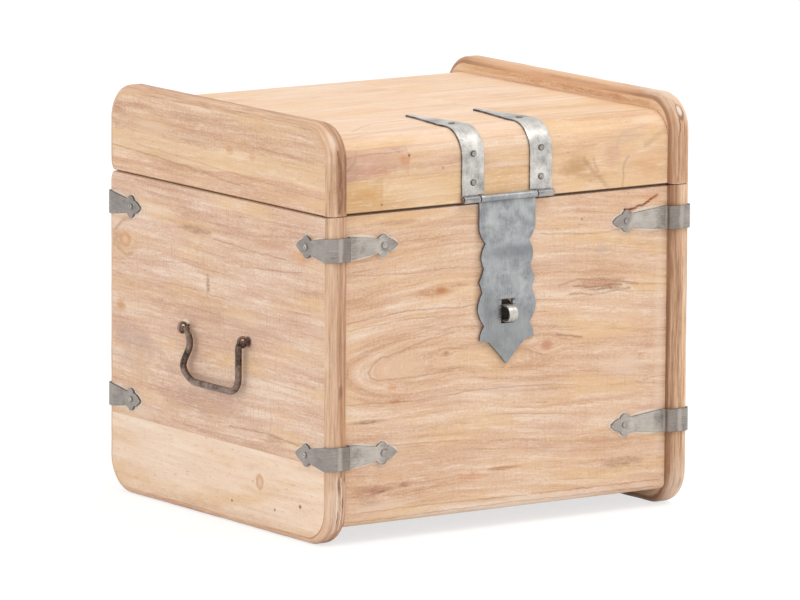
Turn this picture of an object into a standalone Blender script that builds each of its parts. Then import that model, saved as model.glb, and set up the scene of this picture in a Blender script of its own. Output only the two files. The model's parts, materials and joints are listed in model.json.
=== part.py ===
"""Wooden storage chest: a boarded box and lid, corner brackets, strap hasp, staple and bail handles.

Units are metres and +Z is up. +X runs to the right along the front, and +Y runs to the back.
The origin is on the floor, under the middle of the whole chest with its fittings.
Five bodies: the base stands on the floor, the lid turns on the rear hinges, the hasp turns
on the straps at the lid's front, and one bail turns in its eyes at each side.
"""

import bpy
import bmesh
import numpy as np
from mathutils import Vector

# Overall size of the chest, over its side boards
CHEST_WIDTH = 0.440
CHEST_DEPTH = 0.400
CHEST_HEIGHT = 0.420
LID_HEIGHT = 0.090

# Clearances
FIT = 0.0003
SEAM_GAP = 0.0008

# Side boards, which carry the base and the lid and stand proud of them
SIDE_THICKNESS = 0.024
SIDE_CORNER_RADIUS = 0.037
SIDE_EDGE_RADIUS = 0.007
SWING_CORNER_RADIUS = 0.011

# Front, back and floor boards of the base
PANEL_THICKNESS = 0.018
FRONT_RECESS = 0.007
BACK_RECESS = 0.007
PANEL_RISE = 0.018
PANEL_FOOT_RADIUS = 0.008
PANEL_CHAMFER = 0.0010
FLOOR_RISE = 0.026
FLOOR_THICKNESS = 0.012

# Lid top, with its rounded front and back edges
LID_TOP_DROP = 0.0165
LID_TOP_THICKNESS = 0.011
LID_EDGE_RADIUS = 0.028

# The front fittings sit a little left of the middle, as they were nailed on by hand
FITTING_SHIFT = -0.0035

# Corner brackets: bent sheet with a three-lobed tip at each end
BRACKET_SHEET = 0.0020
BRACKET_HALF_HEIGHT = 0.0118
BRACKET_BEND = 0.0030
FRONT_BRACKET_PANEL_ARM = 0.065
FRONT_BRACKET_SIDE_ARM = 0.0545
BACK_BRACKET_PANEL_ARM = 0.057
BACK_BRACKET_SIDE_ARM = 0.0615
BRACKET_UNDER_SEAM = 0.0330
FRONT_BRACKET_LOWER_HEIGHT = 0.0895
BACK_BRACKET_LOWER_HEIGHT = 0.0990
LOBE_TIP = (0.0, 0.0009)
LOBE_START = (0.0105, 0.0071)
LOBE_END = (0.0240, 0.0073)
LOBE_BULGE = 0.0046
TIP_BULGE = 0.0003
SCREW_FROM_TIP = 0.0165

# Screws
SCREW_SHANK_RADIUS = 0.0017
SCREW_HEAD_RADIUS = 0.0033
SCREW_HEAD_HEIGHT = 0.0015
SCREW_SHOULDER_HEIGHT = 0.0009
SCREW_SHOULDER_RADIUS = 0.0026
SCREW_CROWN_RADIUS = 0.0012
SCREW_POINT_RADIUS = 0.0006
SCREW_POINT_LENGTH = 0.0034
SCREW_LENGTH = 0.0110
STRAP_TOP_SCREW_LENGTH = 0.0095
PILOT_SPARE = 0.0015

# Strap hinges of the hasp, on the lid's front and top
STRAP_SHEET = 0.0018
STRAP_WIDTH = 0.0268
STRAP_SPACING = 0.0824
STRAP_TOP_LENGTH = 0.0850
STRAP_TIP_WIDTH = 0.0055
STRAP_NECK_WIDTH = 0.0080
STRAP_NECK_LENGTH = 0.0190
STRAP_TAPER_LENGTH = 0.0720
STRAP_SCREW_LOW = 0.0210
STRAP_SCREW_UNDER_TOP = 0.0235
STRAP_SCREW_TOP = 0.0080
KNUCKLE_START = 0.0350
KNUCKLE_GAP = 0.0004
HASP_AXIS_RISE = 0.0043
HASP_PIN_RADIUS = 0.0016
PIN_CLEARANCE = 0.0003
PIN_HEAD_OVERHANG = 0.0010
PIN_HEAD_LENGTH = 0.0012
PIN_HEAD_CHAMFER = 0.0006
ROLL_SWEEP = 262.0

# Hasp plate: knots of its half outline as (distance above the tip, half width, bulge to the next)
HASP_SHEET = 0.0018
HASP_LENGTH = 0.1680
HASP_STANDOFF = 0.0016
HASP_CRANK = 0.0075
HASP_KNOTS = (
    (0.0000, 0.0008, -0.0006),
    (0.0228, 0.0225, 0.0000),
    (0.0247, 0.0327, 0.0017),
    (0.0392, 0.0276, 0.0064),
    (0.0726, 0.0303, -0.0006),
    (0.0837, 0.0342, -0.0006),
    (0.0975, 0.0285, 0.0040),
    (0.1224, 0.0266, 0.0014),
    (0.1370, 0.0342, 0.0000),
)
HASP_SLOT_WIDTH = 0.0138
HASP_SLOT_LENGTH = 0.0245
HASP_SLOT_RISE = 0.0405

# Staple: a bent strip through the front board, clinched inside
STAPLE_SHEET = 0.0018
STAPLE_WIDTH = 0.0105
STAPLE_HEIGHT = 0.0170
STAPLE_REACH = 0.0125
STAPLE_CLEARANCE = 0.0016
STAPLE_TAIL = 0.0120
STAPLE_BEND = 0.0015
STAPLE_NOSE_FLAT = 0.0003

# Rear hinges, on the outside of the back boards
HINGE_SHEET = 0.0016
HINGE_WIDTH = 0.036
HINGE_KNUCKLES = 3
HINGE_FROM_BRACKET = 0.006
HINGE_LEAF_LENGTH = 0.038
HINGE_TIP_WIDTH = 0.020
HINGE_TIP_LENGTH = 0.006
HINGE_PIN_RADIUS = 0.0014

# Bail handles and their cotter-pin eyes, one pair on each side board
BAIL_RADIUS = 0.0035
BAIL_END_RADIUS = 0.0023
BAIL_BUTTON_RADIUS = 0.0030
BAIL_BUTTON_FACE = 0.0024
BAIL_BUTTON_LENGTH = 0.0018
BAIL_BUTTON_NECK = 0.0009
BAIL_HALF_SPAN = 0.0472
BAIL_DROP = 0.0520
BAIL_SHOULDER = 0.0060
BAIL_CORNER = 0.0100
BAIL_END_LENGTH = 0.0125
BAIL_OFF_WALL = 0.0075
BAIL_UNDER_SEAM = 0.1420
BAIL_SHIFT = -0.0040
EYE_WIRE_RADIUS = 0.0016
EYE_RING_RADIUS = 0.0048
EYE_FROM_LEG = 0.0070
EYE_LEG_GAP = 0.0004
EYE_TAIL = 0.0130
EYE_BEND = 0.0020

# Smoothness of the round work
CORNER_STEPS = 7
EDGE_STEPS = 3
LID_EDGE_STEPS = 6
BEND_STEPS = 3
ROLL_STEPS = 9
EYE_RING_STEPS = 12
ROD_SIDES = 8
WIRE_SIDES = 6
STATION_SPACE = 0.0002

WOOD = {"colour": (0.80, 0.60, 0.43, 1.0), "roughness": 0.62, "metallic": 0.0}
IRON = {"colour": (0.42, 0.43, 0.44, 1.0), "roughness": 0.45, "metallic": 0.85}

# Heights and places that follow from the sizes above
SEAM_HEIGHT = CHEST_HEIGHT - LID_HEIGHT
BRACKET_UPPER_HEIGHT = SEAM_HEIGHT - BRACKET_UNDER_SEAM
BAIL_HEIGHT = SEAM_HEIGHT - BAIL_UNDER_SEAM
STAPLE_OUT = HASP_STANDOFF + HASP_SHEET + STAPLE_REACH
BRACKET_OUT = FIT + BRACKET_SHEET
FRONT_REACH = max(STAPLE_OUT - FRONT_RECESS, BRACKET_OUT)
BACK_REACH = BRACKET_OUT
MIDDLE_Y = (FRONT_REACH - BACK_REACH) / 2
FRONT_Y = MIDDLE_Y - CHEST_DEPTH / 2
BACK_Y = MIDDLE_Y + CHEST_DEPTH / 2
FRONT_FACE_Y = FRONT_Y + FRONT_RECESS
BACK_FACE_Y = BACK_Y - BACK_RECESS
SIDE_X = CHEST_WIDTH / 2
INNER_X = SIDE_X - SIDE_THICKNESS
PANEL_HALF_WIDTH = INNER_X - FIT
BASE_TOP = SEAM_HEIGHT - SEAM_GAP / 2
LID_BOTTOM = SEAM_HEIGHT + SEAM_GAP / 2
LID_TOP = CHEST_HEIGHT - LID_TOP_DROP
LID_JOINT = LID_TOP - LID_TOP_THICKNESS

HINGE_ROLL = HINGE_PIN_RADIUS + PIN_CLEARANCE + HINGE_SHEET / 2
HINGE_FLAT_Y = BACK_FACE_Y + FIT + HINGE_SHEET / 2
LID_PIVOT = (0.0, HINGE_FLAT_Y + HINGE_ROLL, SEAM_HEIGHT)
HINGE_MIDDLE = INNER_X - BACK_BRACKET_PANEL_ARM - HINGE_FROM_BRACKET - HINGE_WIDTH / 2

STRAP_ROLL = HASP_PIN_RADIUS + PIN_CLEARANCE + STRAP_SHEET / 2
STRAP_OFF = FIT + STRAP_SHEET / 2
STRAP_FLAT_Y = FRONT_FACE_Y - STRAP_OFF
HASP_PIVOT = (FITTING_SHIFT, STRAP_FLAT_Y - STRAP_ROLL, SEAM_HEIGHT + HASP_AXIS_RISE)
KNUCKLE_RADIUS = STRAP_ROLL + STRAP_SHEET / 2

EYE_CLEAR_RADIUS = EYE_RING_RADIUS - EYE_WIRE_RADIUS
BAIL_SAG = EYE_CLEAR_RADIUS - BAIL_END_RADIUS - FIT
BAIL_PIVOT_X = SIDE_X + BAIL_OFF_WALL
BAIL_Y = MIDDLE_Y + BAIL_SHIFT


def clear_scene():
    """Removes every object that the scene starts with."""
    for old in list(bpy.data.objects):
        bpy.data.objects.remove(old, do_unlink=True)


def new_body(name, pivot, parent=None):
    """An empty on a joint's axis, which carries the pieces that turn about it."""
    empty = bpy.data.objects.new(name, None)
    bpy.context.collection.objects.link(empty)
    held = Vector(pivot)
    if parent is not None:
        empty.parent = parent["empty"]
        held = held - parent["pivot"]
    empty.location = held
    return {"empty": empty, "pivot": Vector(pivot)}


def add_material(thing, look):
    """Gives a piece its own Principled material with the look's colour, roughness and metallic value."""
    paint = bpy.data.materials.new(thing.name + "_finish")
    paint.use_nodes = True
    shader = paint.node_tree.nodes["Principled BSDF"]
    shader.inputs["Base Color"].default_value = look["colour"]
    shader.inputs["Roughness"].default_value = look["roughness"]
    shader.inputs["Metallic"].default_value = look["metallic"]
    thing.data.materials.append(paint)


def add_piece(name, mesh, look, body):
    """Links a piece under its body's empty, with round faces shaded smooth up to the sharp edges."""
    mesh.shade_smooth()
    mesh.set_sharp_from_angle(angle=np.radians(40.0))
    thing = bpy.data.objects.new(name, mesh)
    bpy.context.collection.objects.link(thing)
    thing.parent = body["empty"]
    add_material(thing, look)
    return thing


def skin(name, loops, pivot):
    """Mesh that joins each loop of points to the next and caps the first and the last."""
    form = bmesh.new()
    rings = []
    for loop in loops:
        rings.append([form.verts.new(Vector(point) - pivot) for point in loop])
    for ring, following in zip(rings, rings[1:]):
        for i in range(len(ring)):
            form.faces.new((ring[i - 1], ring[i], following[i], following[i - 1]))
    form.faces.new(rings[0])
    form.faces.new(rings[-1])
    bmesh.ops.recalc_face_normals(form, faces=form.faces)
    mesh = bpy.data.meshes.new(name)
    form.to_mesh(mesh)
    form.free()
    return mesh


def loft(name, loops, look, body):
    """A solid piece made of loops of world points."""
    return add_piece(name, skin(name, loops, body["pivot"]), look, body)


def cut(target, name, blocks, body):
    """Cuts closed blocks, each a list of loops, out of a piece with one wire-drawn cutter."""
    form = bmesh.new()
    for block in blocks:
        part = skin(name, block, body["pivot"])
        form.from_mesh(part)
        bpy.data.meshes.remove(part)
    mesh = bpy.data.meshes.new(name)
    form.to_mesh(mesh)
    form.free()
    cutter = bpy.data.objects.new(name, mesh)
    bpy.context.collection.objects.link(cutter)
    cutter.parent = body["empty"]
    cutter.display_type = "WIRE"
    cutter.hide_render = True
    boolean = target.modifiers.new("cut", "BOOLEAN")
    boolean.operation = "DIFFERENCE"
    boolean.solver = "EXACT"
    boolean.object = cutter


def box_block(low, high):
    """The two loops of a box between its lowest and highest corners."""
    corners = ((0, 0), (1, 0), (1, 1), (0, 1))
    ends = (low, high)
    return [[(ends[i][0], ends[j][1], ends[k][2]) for j, k in corners] for i in (0, 1)]


def circle(centre, radius, along, sides):
    """Points of a circle about a world axis, given as 0, 1 or 2."""
    turns = np.arange(sides) * 2 * np.pi / sides + np.pi / sides
    points = np.tile(np.array(centre, float), (sides, 1))
    points[:, (along + 1) % 3] += radius * np.cos(turns)
    points[:, (along + 2) % 3] += radius * np.sin(turns)
    return points


def hole_block(start, end, radius, along):
    """The two loops of a round hole that runs along a world axis."""
    return [circle(start, radius, along, ROD_SIDES), circle(end, radius, along, ROD_SIDES)]


def unit(vector):
    return vector / np.linalg.norm(vector)


def corner_points(before, corner, after, radius, steps):
    """The arc that rounds one corner of a line, or the corner itself where the radius is nought."""
    before, corner, after = (np.array(p, float) for p in (before, corner, after))
    if radius == 0:
        return [corner]
    back = unit(before - corner)
    ahead = unit(after - corner)
    half = np.arccos(np.clip(back @ ahead, -1, 1)) / 2
    reach = radius / np.tan(half)
    centre = corner + unit(back + ahead) * radius / np.sin(half)
    start = corner + back * reach - centre
    end = corner + ahead * reach - centre
    sweep = np.pi - 2 * half
    turns = np.linspace(0, sweep, steps + 1)
    return [centre + (np.sin(sweep - t) * start + np.sin(t) * end) / np.sin(sweep) for t in turns]


def rounded_line(corners, radii, steps):
    """An open line through its corners, each rounded by its own radius; the ends stay sharp."""
    points = [np.array(corners[0], float)]
    for i in range(1, len(corners) - 1):
        points += corner_points(corners[i - 1], corners[i], corners[i + 1], radii[i - 1], steps)
    points.append(np.array(corners[-1], float))
    return np.array(points)


def arc(centre, radii, start, end, steps):
    """Points of an arc between two angles in degrees, with one radius for each of its two axes."""
    angles = np.radians(np.linspace(start, end, steps + 1))
    return np.array(centre) + np.column_stack([radii[0] * np.cos(angles), radii[1] * np.sin(angles)])


def lengths(path):
    """Distance along a line to each of its points."""
    steps = np.linalg.norm(np.diff(path, axis=0), axis=1)
    return np.concatenate([[0.0], np.cumsum(steps)])


def with_stations(path, distances):
    """A line with extra points at the given distances along it."""
    along = lengths(path)
    extra = [d for d in distances if d < along[-1] and np.abs(along - d).min() > STATION_SPACE]
    every = np.unique(np.concatenate([along, extra]))
    return np.column_stack([np.interp(every, along, path[:, i]) for i in (0, 1)])


def mitres(path):
    """Sideways vector at each point of a line, which keeps a strip's thickness even round its bends."""
    ways = np.diff(path, axis=0)
    ways = ways / np.linalg.norm(ways, axis=1)[:, None]
    sides = np.column_stack([-ways[:, 1], ways[:, 0]])
    before = np.vstack([sides[:1], sides])
    after = np.vstack([sides, sides[-1:]])
    return (before + after) / (1 + (before * after).sum(axis=1))[:, None]


def strip_loops(path, lows, highs, sheet, place):
    """Four-cornered loops of a bent sheet: its middle line, its two edges and its thickness."""
    side = mitres(path) * sheet / 2
    loops = []
    for middle, off, low, high in zip(path, side, lows, highs):
        near, far = middle - off, middle + off
        loops.append([place(near, low), place(near, high), place(far, high), place(far, low)])
    return loops


def scalloped(knots, steps):
    """Distances and half widths along an outline of knots, each with the bulge of the curve to the next."""
    distances, widths = [], []
    shares = np.linspace(0, 1, steps + 1)[:-1]
    for (d0, w0, bulge), (d1, w1, _) in zip(knots, knots[1:]):
        few = shares if bulge else shares[:1]
        distances += list(d0 + (d1 - d0) * few)
        widths += list(w0 + (w1 - w0) * few + bulge * np.sin(np.pi * few))
    return np.array(distances + [knots[-1][0]]), np.array(widths + [knots[-1][1]])


def in_yz(point, across):
    """A point of a line drawn in the side view, at a place across the chest."""
    return (across, point[0], point[1])


def side_outline(inset, low, high, rounded_low):
    """Outline of a side board in the side view, drawn in by its edge rounding except at the seam."""
    foot = SIDE_CORNER_RADIUS - inset
    swing = (SWING_CORNER_RADIUS - inset, SWING_CORNER_RADIUS)
    swing_y = BACK_Y - SWING_CORNER_RADIUS
    front = FRONT_Y + inset
    if rounded_low:
        centre = low + SIDE_CORNER_RADIUS
        points = [(front, high)]
        points += list(arc((FRONT_Y + SIDE_CORNER_RADIUS, centre), (foot, foot), 180, 270, CORNER_STEPS))
        points += list(arc((BACK_Y - SIDE_CORNER_RADIUS, centre), (foot, foot), 270, 360, CORNER_STEPS))
        points += list(arc((swing_y, high - SWING_CORNER_RADIUS), swing, 0, 90, EDGE_STEPS))
        return points
    centre = high - SIDE_CORNER_RADIUS
    points = [(front, low)]
    points += list(arc((FRONT_Y + SIDE_CORNER_RADIUS, centre), (foot, foot), 180, 90, CORNER_STEPS))
    points += list(arc((BACK_Y - SIDE_CORNER_RADIUS, centre), (foot, foot), 90, 0, CORNER_STEPS))
    points += list(arc((swing_y, low + SWING_CORNER_RADIUS), swing, 0, -90, EDGE_STEPS))
    return points


def side_board(name, side, low, high, rounded_low, body):
    """A side board with rounded edges, built from the outer face to the inner one."""
    turns = np.radians(np.linspace(0, 90, EDGE_STEPS + 1))
    depths = SIDE_EDGE_RADIUS * (1 - np.cos(turns))
    insets = SIDE_EDGE_RADIUS * (1 - np.sin(turns))
    layers = list(zip(depths, insets)) + list(zip(SIDE_THICKNESS - depths[::-1], insets[::-1]))
    loops = []
    for depth, inset in layers:
        x = side * (SIDE_X - depth)
        loops.append([(x, y, z) for y, z in side_outline(inset, low, high, rounded_low)])
    return loft(name, loops, WOOD, body)


def panel(name, profile, body):
    """A board between the side boards, with its profile drawn in the side view."""
    loops = [[(x, y, z) for y, z in profile] for x in (-PANEL_HALF_WIDTH, PANEL_HALF_WIDTH)]
    return loft(name, loops, WOOD, body)


def base_panel_profile(face, inward):
    """Base front or back board: rounded lower outer edge, and a small chamfer at the seam."""
    inner = face + inward * PANEL_THICKNESS
    foot = rounded_line(
        [(face, BASE_TOP - PANEL_CHAMFER), (face, PANEL_RISE), (inner, PANEL_RISE)],
        [PANEL_FOOT_RADIUS],
        EDGE_STEPS,
    )
    return list(foot) + [(inner, BASE_TOP), (face + inward * PANEL_CHAMFER, BASE_TOP)]


def lid_edge_arc(face, inward, low, high):
    """Points of the lid's rounded long edge between two heights, from the lower one up."""
    centre_z = LID_TOP - LID_EDGE_RADIUS
    start = np.arcsin(np.clip((low - centre_z) / LID_EDGE_RADIUS, 0, 1))
    end = np.arcsin(np.clip((high - centre_z) / LID_EDGE_RADIUS, 0, 1))
    turns = np.linspace(start, end, LID_EDGE_STEPS + 1)
    ys = face + inward * LID_EDGE_RADIUS * (1 - np.cos(turns))
    return list(zip(ys, centre_z + LID_EDGE_RADIUS * np.sin(turns)))


def lid_panel_profile(face, inward):
    """Lid front or back board, up to its joint under the top board."""
    inner = face + inward * PANEL_THICKNESS
    outside = [(face + inward * PANEL_CHAMFER, LID_BOTTOM), (face, LID_BOTTOM + PANEL_CHAMFER)]
    outside += lid_edge_arc(face, inward, LID_TOP - LID_EDGE_RADIUS, LID_JOINT)
    return outside + [(inner, LID_JOINT), (inner, LID_BOTTOM)]


def lid_top_profile():
    """Top board, with the upper parts of both rounded edges."""
    front = lid_edge_arc(FRONT_FACE_Y, 1, LID_JOINT + FIT, LID_TOP)
    back = lid_edge_arc(BACK_FACE_Y, -1, LID_JOINT + FIT, LID_TOP)
    return front + back[::-1]


def screw(name, seat, along, way, length, body):
    """A round-headed screw: seat is under its head, and way is +1 or -1 along a world axis, outwards."""
    rings = (
        (-length, SCREW_POINT_RADIUS),
        (-length + SCREW_POINT_LENGTH, SCREW_SHANK_RADIUS),
        (0.0, SCREW_SHANK_RADIUS),
        (0.0, SCREW_HEAD_RADIUS),
        (SCREW_SHOULDER_HEIGHT, SCREW_SHOULDER_RADIUS),
        (SCREW_HEAD_HEIGHT, SCREW_CROWN_RADIUS),
    )
    loops = []
    for out, radius in rings:
        centre = np.array(seat, float)
        centre[along] += way * out
        loops.append(circle(centre, radius, along, ROD_SIDES))
    return loft(name, loops, IRON, body)


def screw_hole(seat, along, way, length):
    """The hole for one screw, from clear of its head to past its point."""
    start, end = np.array(seat, float), np.array(seat, float)
    start[along] += way * SCREW_HEAD_HEIGHT
    end[along] -= way * (length + PILOT_SPARE)
    return hole_block(start, end, SCREW_SHANK_RADIUS + FIT, along)


def bracket_widths(arm_one, arm_two, total):
    """Half height along a bracket: a three-lobed tip, a tapered arm, the full wrap, and back again."""
    knots = (LOBE_TIP + (TIP_BULGE,), LOBE_START + (LOBE_BULGE,), LOBE_END + (0.0,))
    tip, half = scalloped(knots, BEND_STEPS + 2)
    distances = np.concatenate([tip, [arm_one, total - arm_two], total - tip[::-1]])
    halves = np.concatenate([half, [BRACKET_HALF_HEIGHT, BRACKET_HALF_HEIGHT], half[::-1]])
    return distances, halves


def bracket(name, side, front, height, body):
    """A corner bracket and its two screws; returns the screw holes for the side board and the panel."""
    off = FIT + BRACKET_SHEET / 2
    recess = FRONT_RECESS if front else BACK_RECESS
    side_arm = FRONT_BRACKET_SIDE_ARM if front else BACK_BRACKET_SIDE_ARM
    panel_arm = FRONT_BRACKET_PANEL_ARM - side * FITTING_SHIFT if front else BACK_BRACKET_PANEL_ARM
    bend = min(BRACKET_BEND, recess / 2 - FIT)
    corners = (
        (-off, side_arm),
        (-off, -off),
        (SIDE_THICKNESS + off, -off),
        (SIDE_THICKNESS + off, recess - off),
        (SIDE_THICKNESS + panel_arm, recess - off),
    )
    path = rounded_line(corners, (SIDE_EDGE_RADIUS + off, bend, bend), BEND_STEPS)
    total = lengths(path)[-1]
    distances, halves = bracket_widths(side_arm - SIDE_EDGE_RADIUS, panel_arm - off - bend, total)
    path = with_stations(path, distances)
    widths = np.interp(lengths(path), distances, halves)

    def place(point, z):
        y = FRONT_Y + point[1] if front else BACK_Y - point[1]
        return (side * (SIDE_X - point[0]), y, z)

    loops = strip_loops(path, height - widths, height + widths, BRACKET_SHEET, place)
    sheet = loft(name, loops, IRON, body)
    outside = FIT + BRACKET_OUT
    side_seat = place((-outside, side_arm - SCREW_FROM_TIP), height)
    panel_seat = place((SIDE_THICKNESS + panel_arm - SCREW_FROM_TIP, recess - outside), height)
    way = -1 if front else 1
    side_hole = screw_hole(side_seat, 0, side, SCREW_LENGTH)
    panel_hole = screw_hole(panel_seat, 1, way, SCREW_LENGTH)
    cut(sheet, name + "_holes", [side_hole, panel_hole], body)
    screw(name + "_side_screw", side_seat, 0, side, SCREW_LENGTH, body)
    screw(name + "_panel_screw", panel_seat, 1, way, SCREW_LENGTH, body)
    return side_hole, panel_hole


def strap_path():
    """Middle line of a strap from its tip along the lid top, over the edge, down and round the pin."""
    line = rounded_line(
        [
            (FRONT_FACE_Y + LID_EDGE_RADIUS + STRAP_TOP_LENGTH, LID_TOP + STRAP_OFF),
            (STRAP_FLAT_Y, LID_TOP + STRAP_OFF),
            (STRAP_FLAT_Y, HASP_PIVOT[2]),
        ],
        [LID_EDGE_RADIUS + STRAP_OFF],
        LID_EDGE_STEPS + 2,
    )
    roll = arc(HASP_PIVOT[1:], (STRAP_ROLL, STRAP_ROLL), 0, -ROLL_SWEEP, ROLL_STEPS)
    return np.vstack([line, roll[1:]])


def strap(name, side, body):
    """A strap hinge and its three screws; returns their holes for the front board and the top board."""
    middle = FITTING_SHIFT + side * STRAP_SPACING / 2
    outline = (0.0, STRAP_NECK_LENGTH, STRAP_TAPER_LENGTH)
    widths = (STRAP_TIP_WIDTH, STRAP_NECK_WIDTH, STRAP_WIDTH)
    path = with_stations(strap_path(), outline)
    halves = np.interp(lengths(path), outline, widths) / 2
    sheet = loft(name, strip_loops(path, middle - halves, middle + halves, STRAP_SHEET, in_yz), IRON, body)
    face = FRONT_FACE_Y - FIT - STRAP_SHEET - FIT
    top = LID_TOP + FIT + STRAP_SHEET + FIT
    seats = (
        ((middle, face, SEAM_HEIGHT + STRAP_SCREW_LOW), 1, -1, SCREW_LENGTH),
        ((middle, face, LID_TOP - STRAP_SCREW_UNDER_TOP), 1, -1, SCREW_LENGTH),
        ((middle, FRONT_FACE_Y + LID_EDGE_RADIUS + STRAP_SCREW_TOP, top), 2, 1, STRAP_TOP_SCREW_LENGTH),
    )
    holes = [screw_hole(*seat) for seat in seats]
    for number, seat in enumerate(seats, 1):
        screw(f"{name}_screw_{number}", *seat, body)
    reach = KNUCKLE_RADIUS + KNUCKLE_GAP
    room = KNUCKLE_START + KNUCKLE_GAP / 2
    inside = sorted((FITTING_SHIFT, FITTING_SHIFT + side * room))
    clear = box_block(
        (inside[0], HASP_PIVOT[1] - 2 * reach, HASP_PIVOT[2] - 2 * reach),
        (inside[1], FRONT_FACE_Y, HASP_PIVOT[2] + reach),
    )
    cut(sheet, name + "_holes", holes + [clear], body)
    return holes[:2], holes[2:]


def hasp_path():
    """Middle line of the hasp from its tip up the plate, cranked back and rolled forward over the pin."""
    _, axis_y, axis_z = HASP_PIVOT
    roll = HASP_PIN_RADIUS + PIN_CLEARANCE + HASP_SHEET / 2
    plate_y = FRONT_FACE_Y - HASP_STANDOFF - HASP_SHEET / 2
    foot = np.array([plate_y - axis_y, -HASP_CRANK])
    start = np.arctan2(foot[1], foot[0]) + np.arccos(roll / np.linalg.norm(foot))
    wrap = arc((axis_y, axis_z), (roll, roll), np.degrees(start), np.degrees(start) + ROLL_SWEEP, ROLL_STEPS)
    plate = np.array([(plate_y, axis_z - HASP_LENGTH), (plate_y, axis_z - HASP_CRANK)])
    return np.vstack([plate, wrap])


def hasp(name, body):
    """The hasp plate with its scalloped outline, its barrel and the slot for the staple."""
    distances, halves = scalloped(HASP_KNOTS, BEND_STEPS + 1)
    path = with_stations(hasp_path(), distances)
    widths = np.interp(lengths(path), distances, halves)
    loops = strip_loops(path, FITTING_SHIFT - widths, FITTING_SHIFT + widths, HASP_SHEET, in_yz)
    plate = loft(name, loops, IRON, body)
    low = HASP_PIVOT[2] - HASP_LENGTH + HASP_SLOT_RISE
    slot = box_block(
        (FITTING_SHIFT - HASP_SLOT_WIDTH / 2, FRONT_FACE_Y - 2 * (HASP_STANDOFF + HASP_SHEET), low),
        (FITTING_SHIFT + HASP_SLOT_WIDTH / 2, FRONT_FACE_Y, low + HASP_SLOT_LENGTH),
    )
    cut(plate, name + "_slot", [slot], body)


def pin(name, middle, half, radius, body):
    """A hinge pin along X with peened ends, each just clear of the outermost knuckle."""
    x, y, z = middle
    head = radius + PIN_HEAD_OVERHANG
    shoulder = half + FIT
    end = shoulder + PIN_HEAD_LENGTH
    crown = (-end, head - PIN_HEAD_CHAMFER)
    rings = (crown, (-end + PIN_HEAD_CHAMFER, head), (-shoulder, head), (-shoulder, radius))
    rings += tuple((-out, size) for out, size in rings[::-1])
    return loft(name, [circle((x + out, y, z), size, 0, ROD_SIDES) for out, size in rings], IRON, body)


def staple(name, body):
    """The staple's strip: a loop that stands through the hasp, two legs and two clinched tails."""
    low = HASP_PIVOT[2] - HASP_LENGTH + HASP_SLOT_RISE + STAPLE_CLEARANCE
    half = STAPLE_SHEET / 2
    bottom, top = low + half, low + STAPLE_HEIGHT - half
    nose = FRONT_FACE_Y - STAPLE_OUT + half
    inside = FRONT_FACE_Y + PANEL_THICKNESS + FIT + half
    bow = (top - bottom - STAPLE_NOSE_FLAT) / 2
    path = rounded_line(
        [
            (inside, top + STAPLE_TAIL),
            (inside, top),
            (nose, top),
            (nose, bottom),
            (inside, bottom),
            (inside, bottom - STAPLE_TAIL),
        ],
        [STAPLE_BEND, bow, bow, STAPLE_BEND],
        BEND_STEPS + 1,
    )
    count = len(path)
    lows = np.full(count, FITTING_SHIFT - STAPLE_WIDTH / 2)
    highs = np.full(count, FITTING_SHIFT + STAPLE_WIDTH / 2)
    loft(name, strip_loops(path, lows, highs, STAPLE_SHEET, in_yz), IRON, body)
    legs = []
    for z in (bottom, top):
        corner = (FITTING_SHIFT - STAPLE_WIDTH / 2 - FIT, FRONT_FACE_Y - PANEL_THICKNESS, z - half - FIT)
        far = (FITTING_SHIFT + STAPLE_WIDTH / 2 + FIT, FRONT_FACE_Y + 2 * PANEL_THICKNESS, z + half + FIT)
        legs.append(box_block(corner, far))
    return legs


def hinge_leaf(name, middle, up, body):
    """One leaf of a rear hinge: up is +1 on the lid and -1 on the base. The lid has the middle knuckle."""
    _, axis_y, axis_z = LID_PIVOT
    end = (HINGE_FLAT_Y, axis_z + up * HINGE_LEAF_LENGTH)
    roll = arc((axis_y, axis_z), (HINGE_ROLL, HINGE_ROLL), 180, 180 + up * ROLL_SWEEP, ROLL_STEPS)
    path = with_stations(np.vstack([[end], roll]), (HINGE_TIP_LENGTH,))
    halves = np.interp(lengths(path), (0.0, HINGE_TIP_LENGTH), (HINGE_TIP_WIDTH / 2, HINGE_WIDTH / 2))
    leaf = loft(name, strip_loops(path, middle - halves, middle + halves, HINGE_SHEET, in_yz), IRON, body)
    reach = HINGE_ROLL + HINGE_SHEET / 2 + KNUCKLE_GAP
    past = HINGE_WIDTH
    knuckle = HINGE_WIDTH / HINGE_KNUCKLES
    wide = (knuckle + KNUCKLE_GAP) / 2
    narrow = (knuckle - KNUCKLE_GAP) / 2
    gaps = ((-wide, wide),) if up < 0 else ((-past, -narrow), (narrow, past))
    low, high = sorted((axis_z + up * reach, axis_z - up * 2 * reach))
    blocks = []
    for start, end in gaps:
        corner = (middle + start, BACK_FACE_Y - reach, low)
        blocks.append(box_block(corner, (middle + end, axis_y + 2 * reach, high)))
    cut(leaf, name + "_knuckles", blocks, body)


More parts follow.
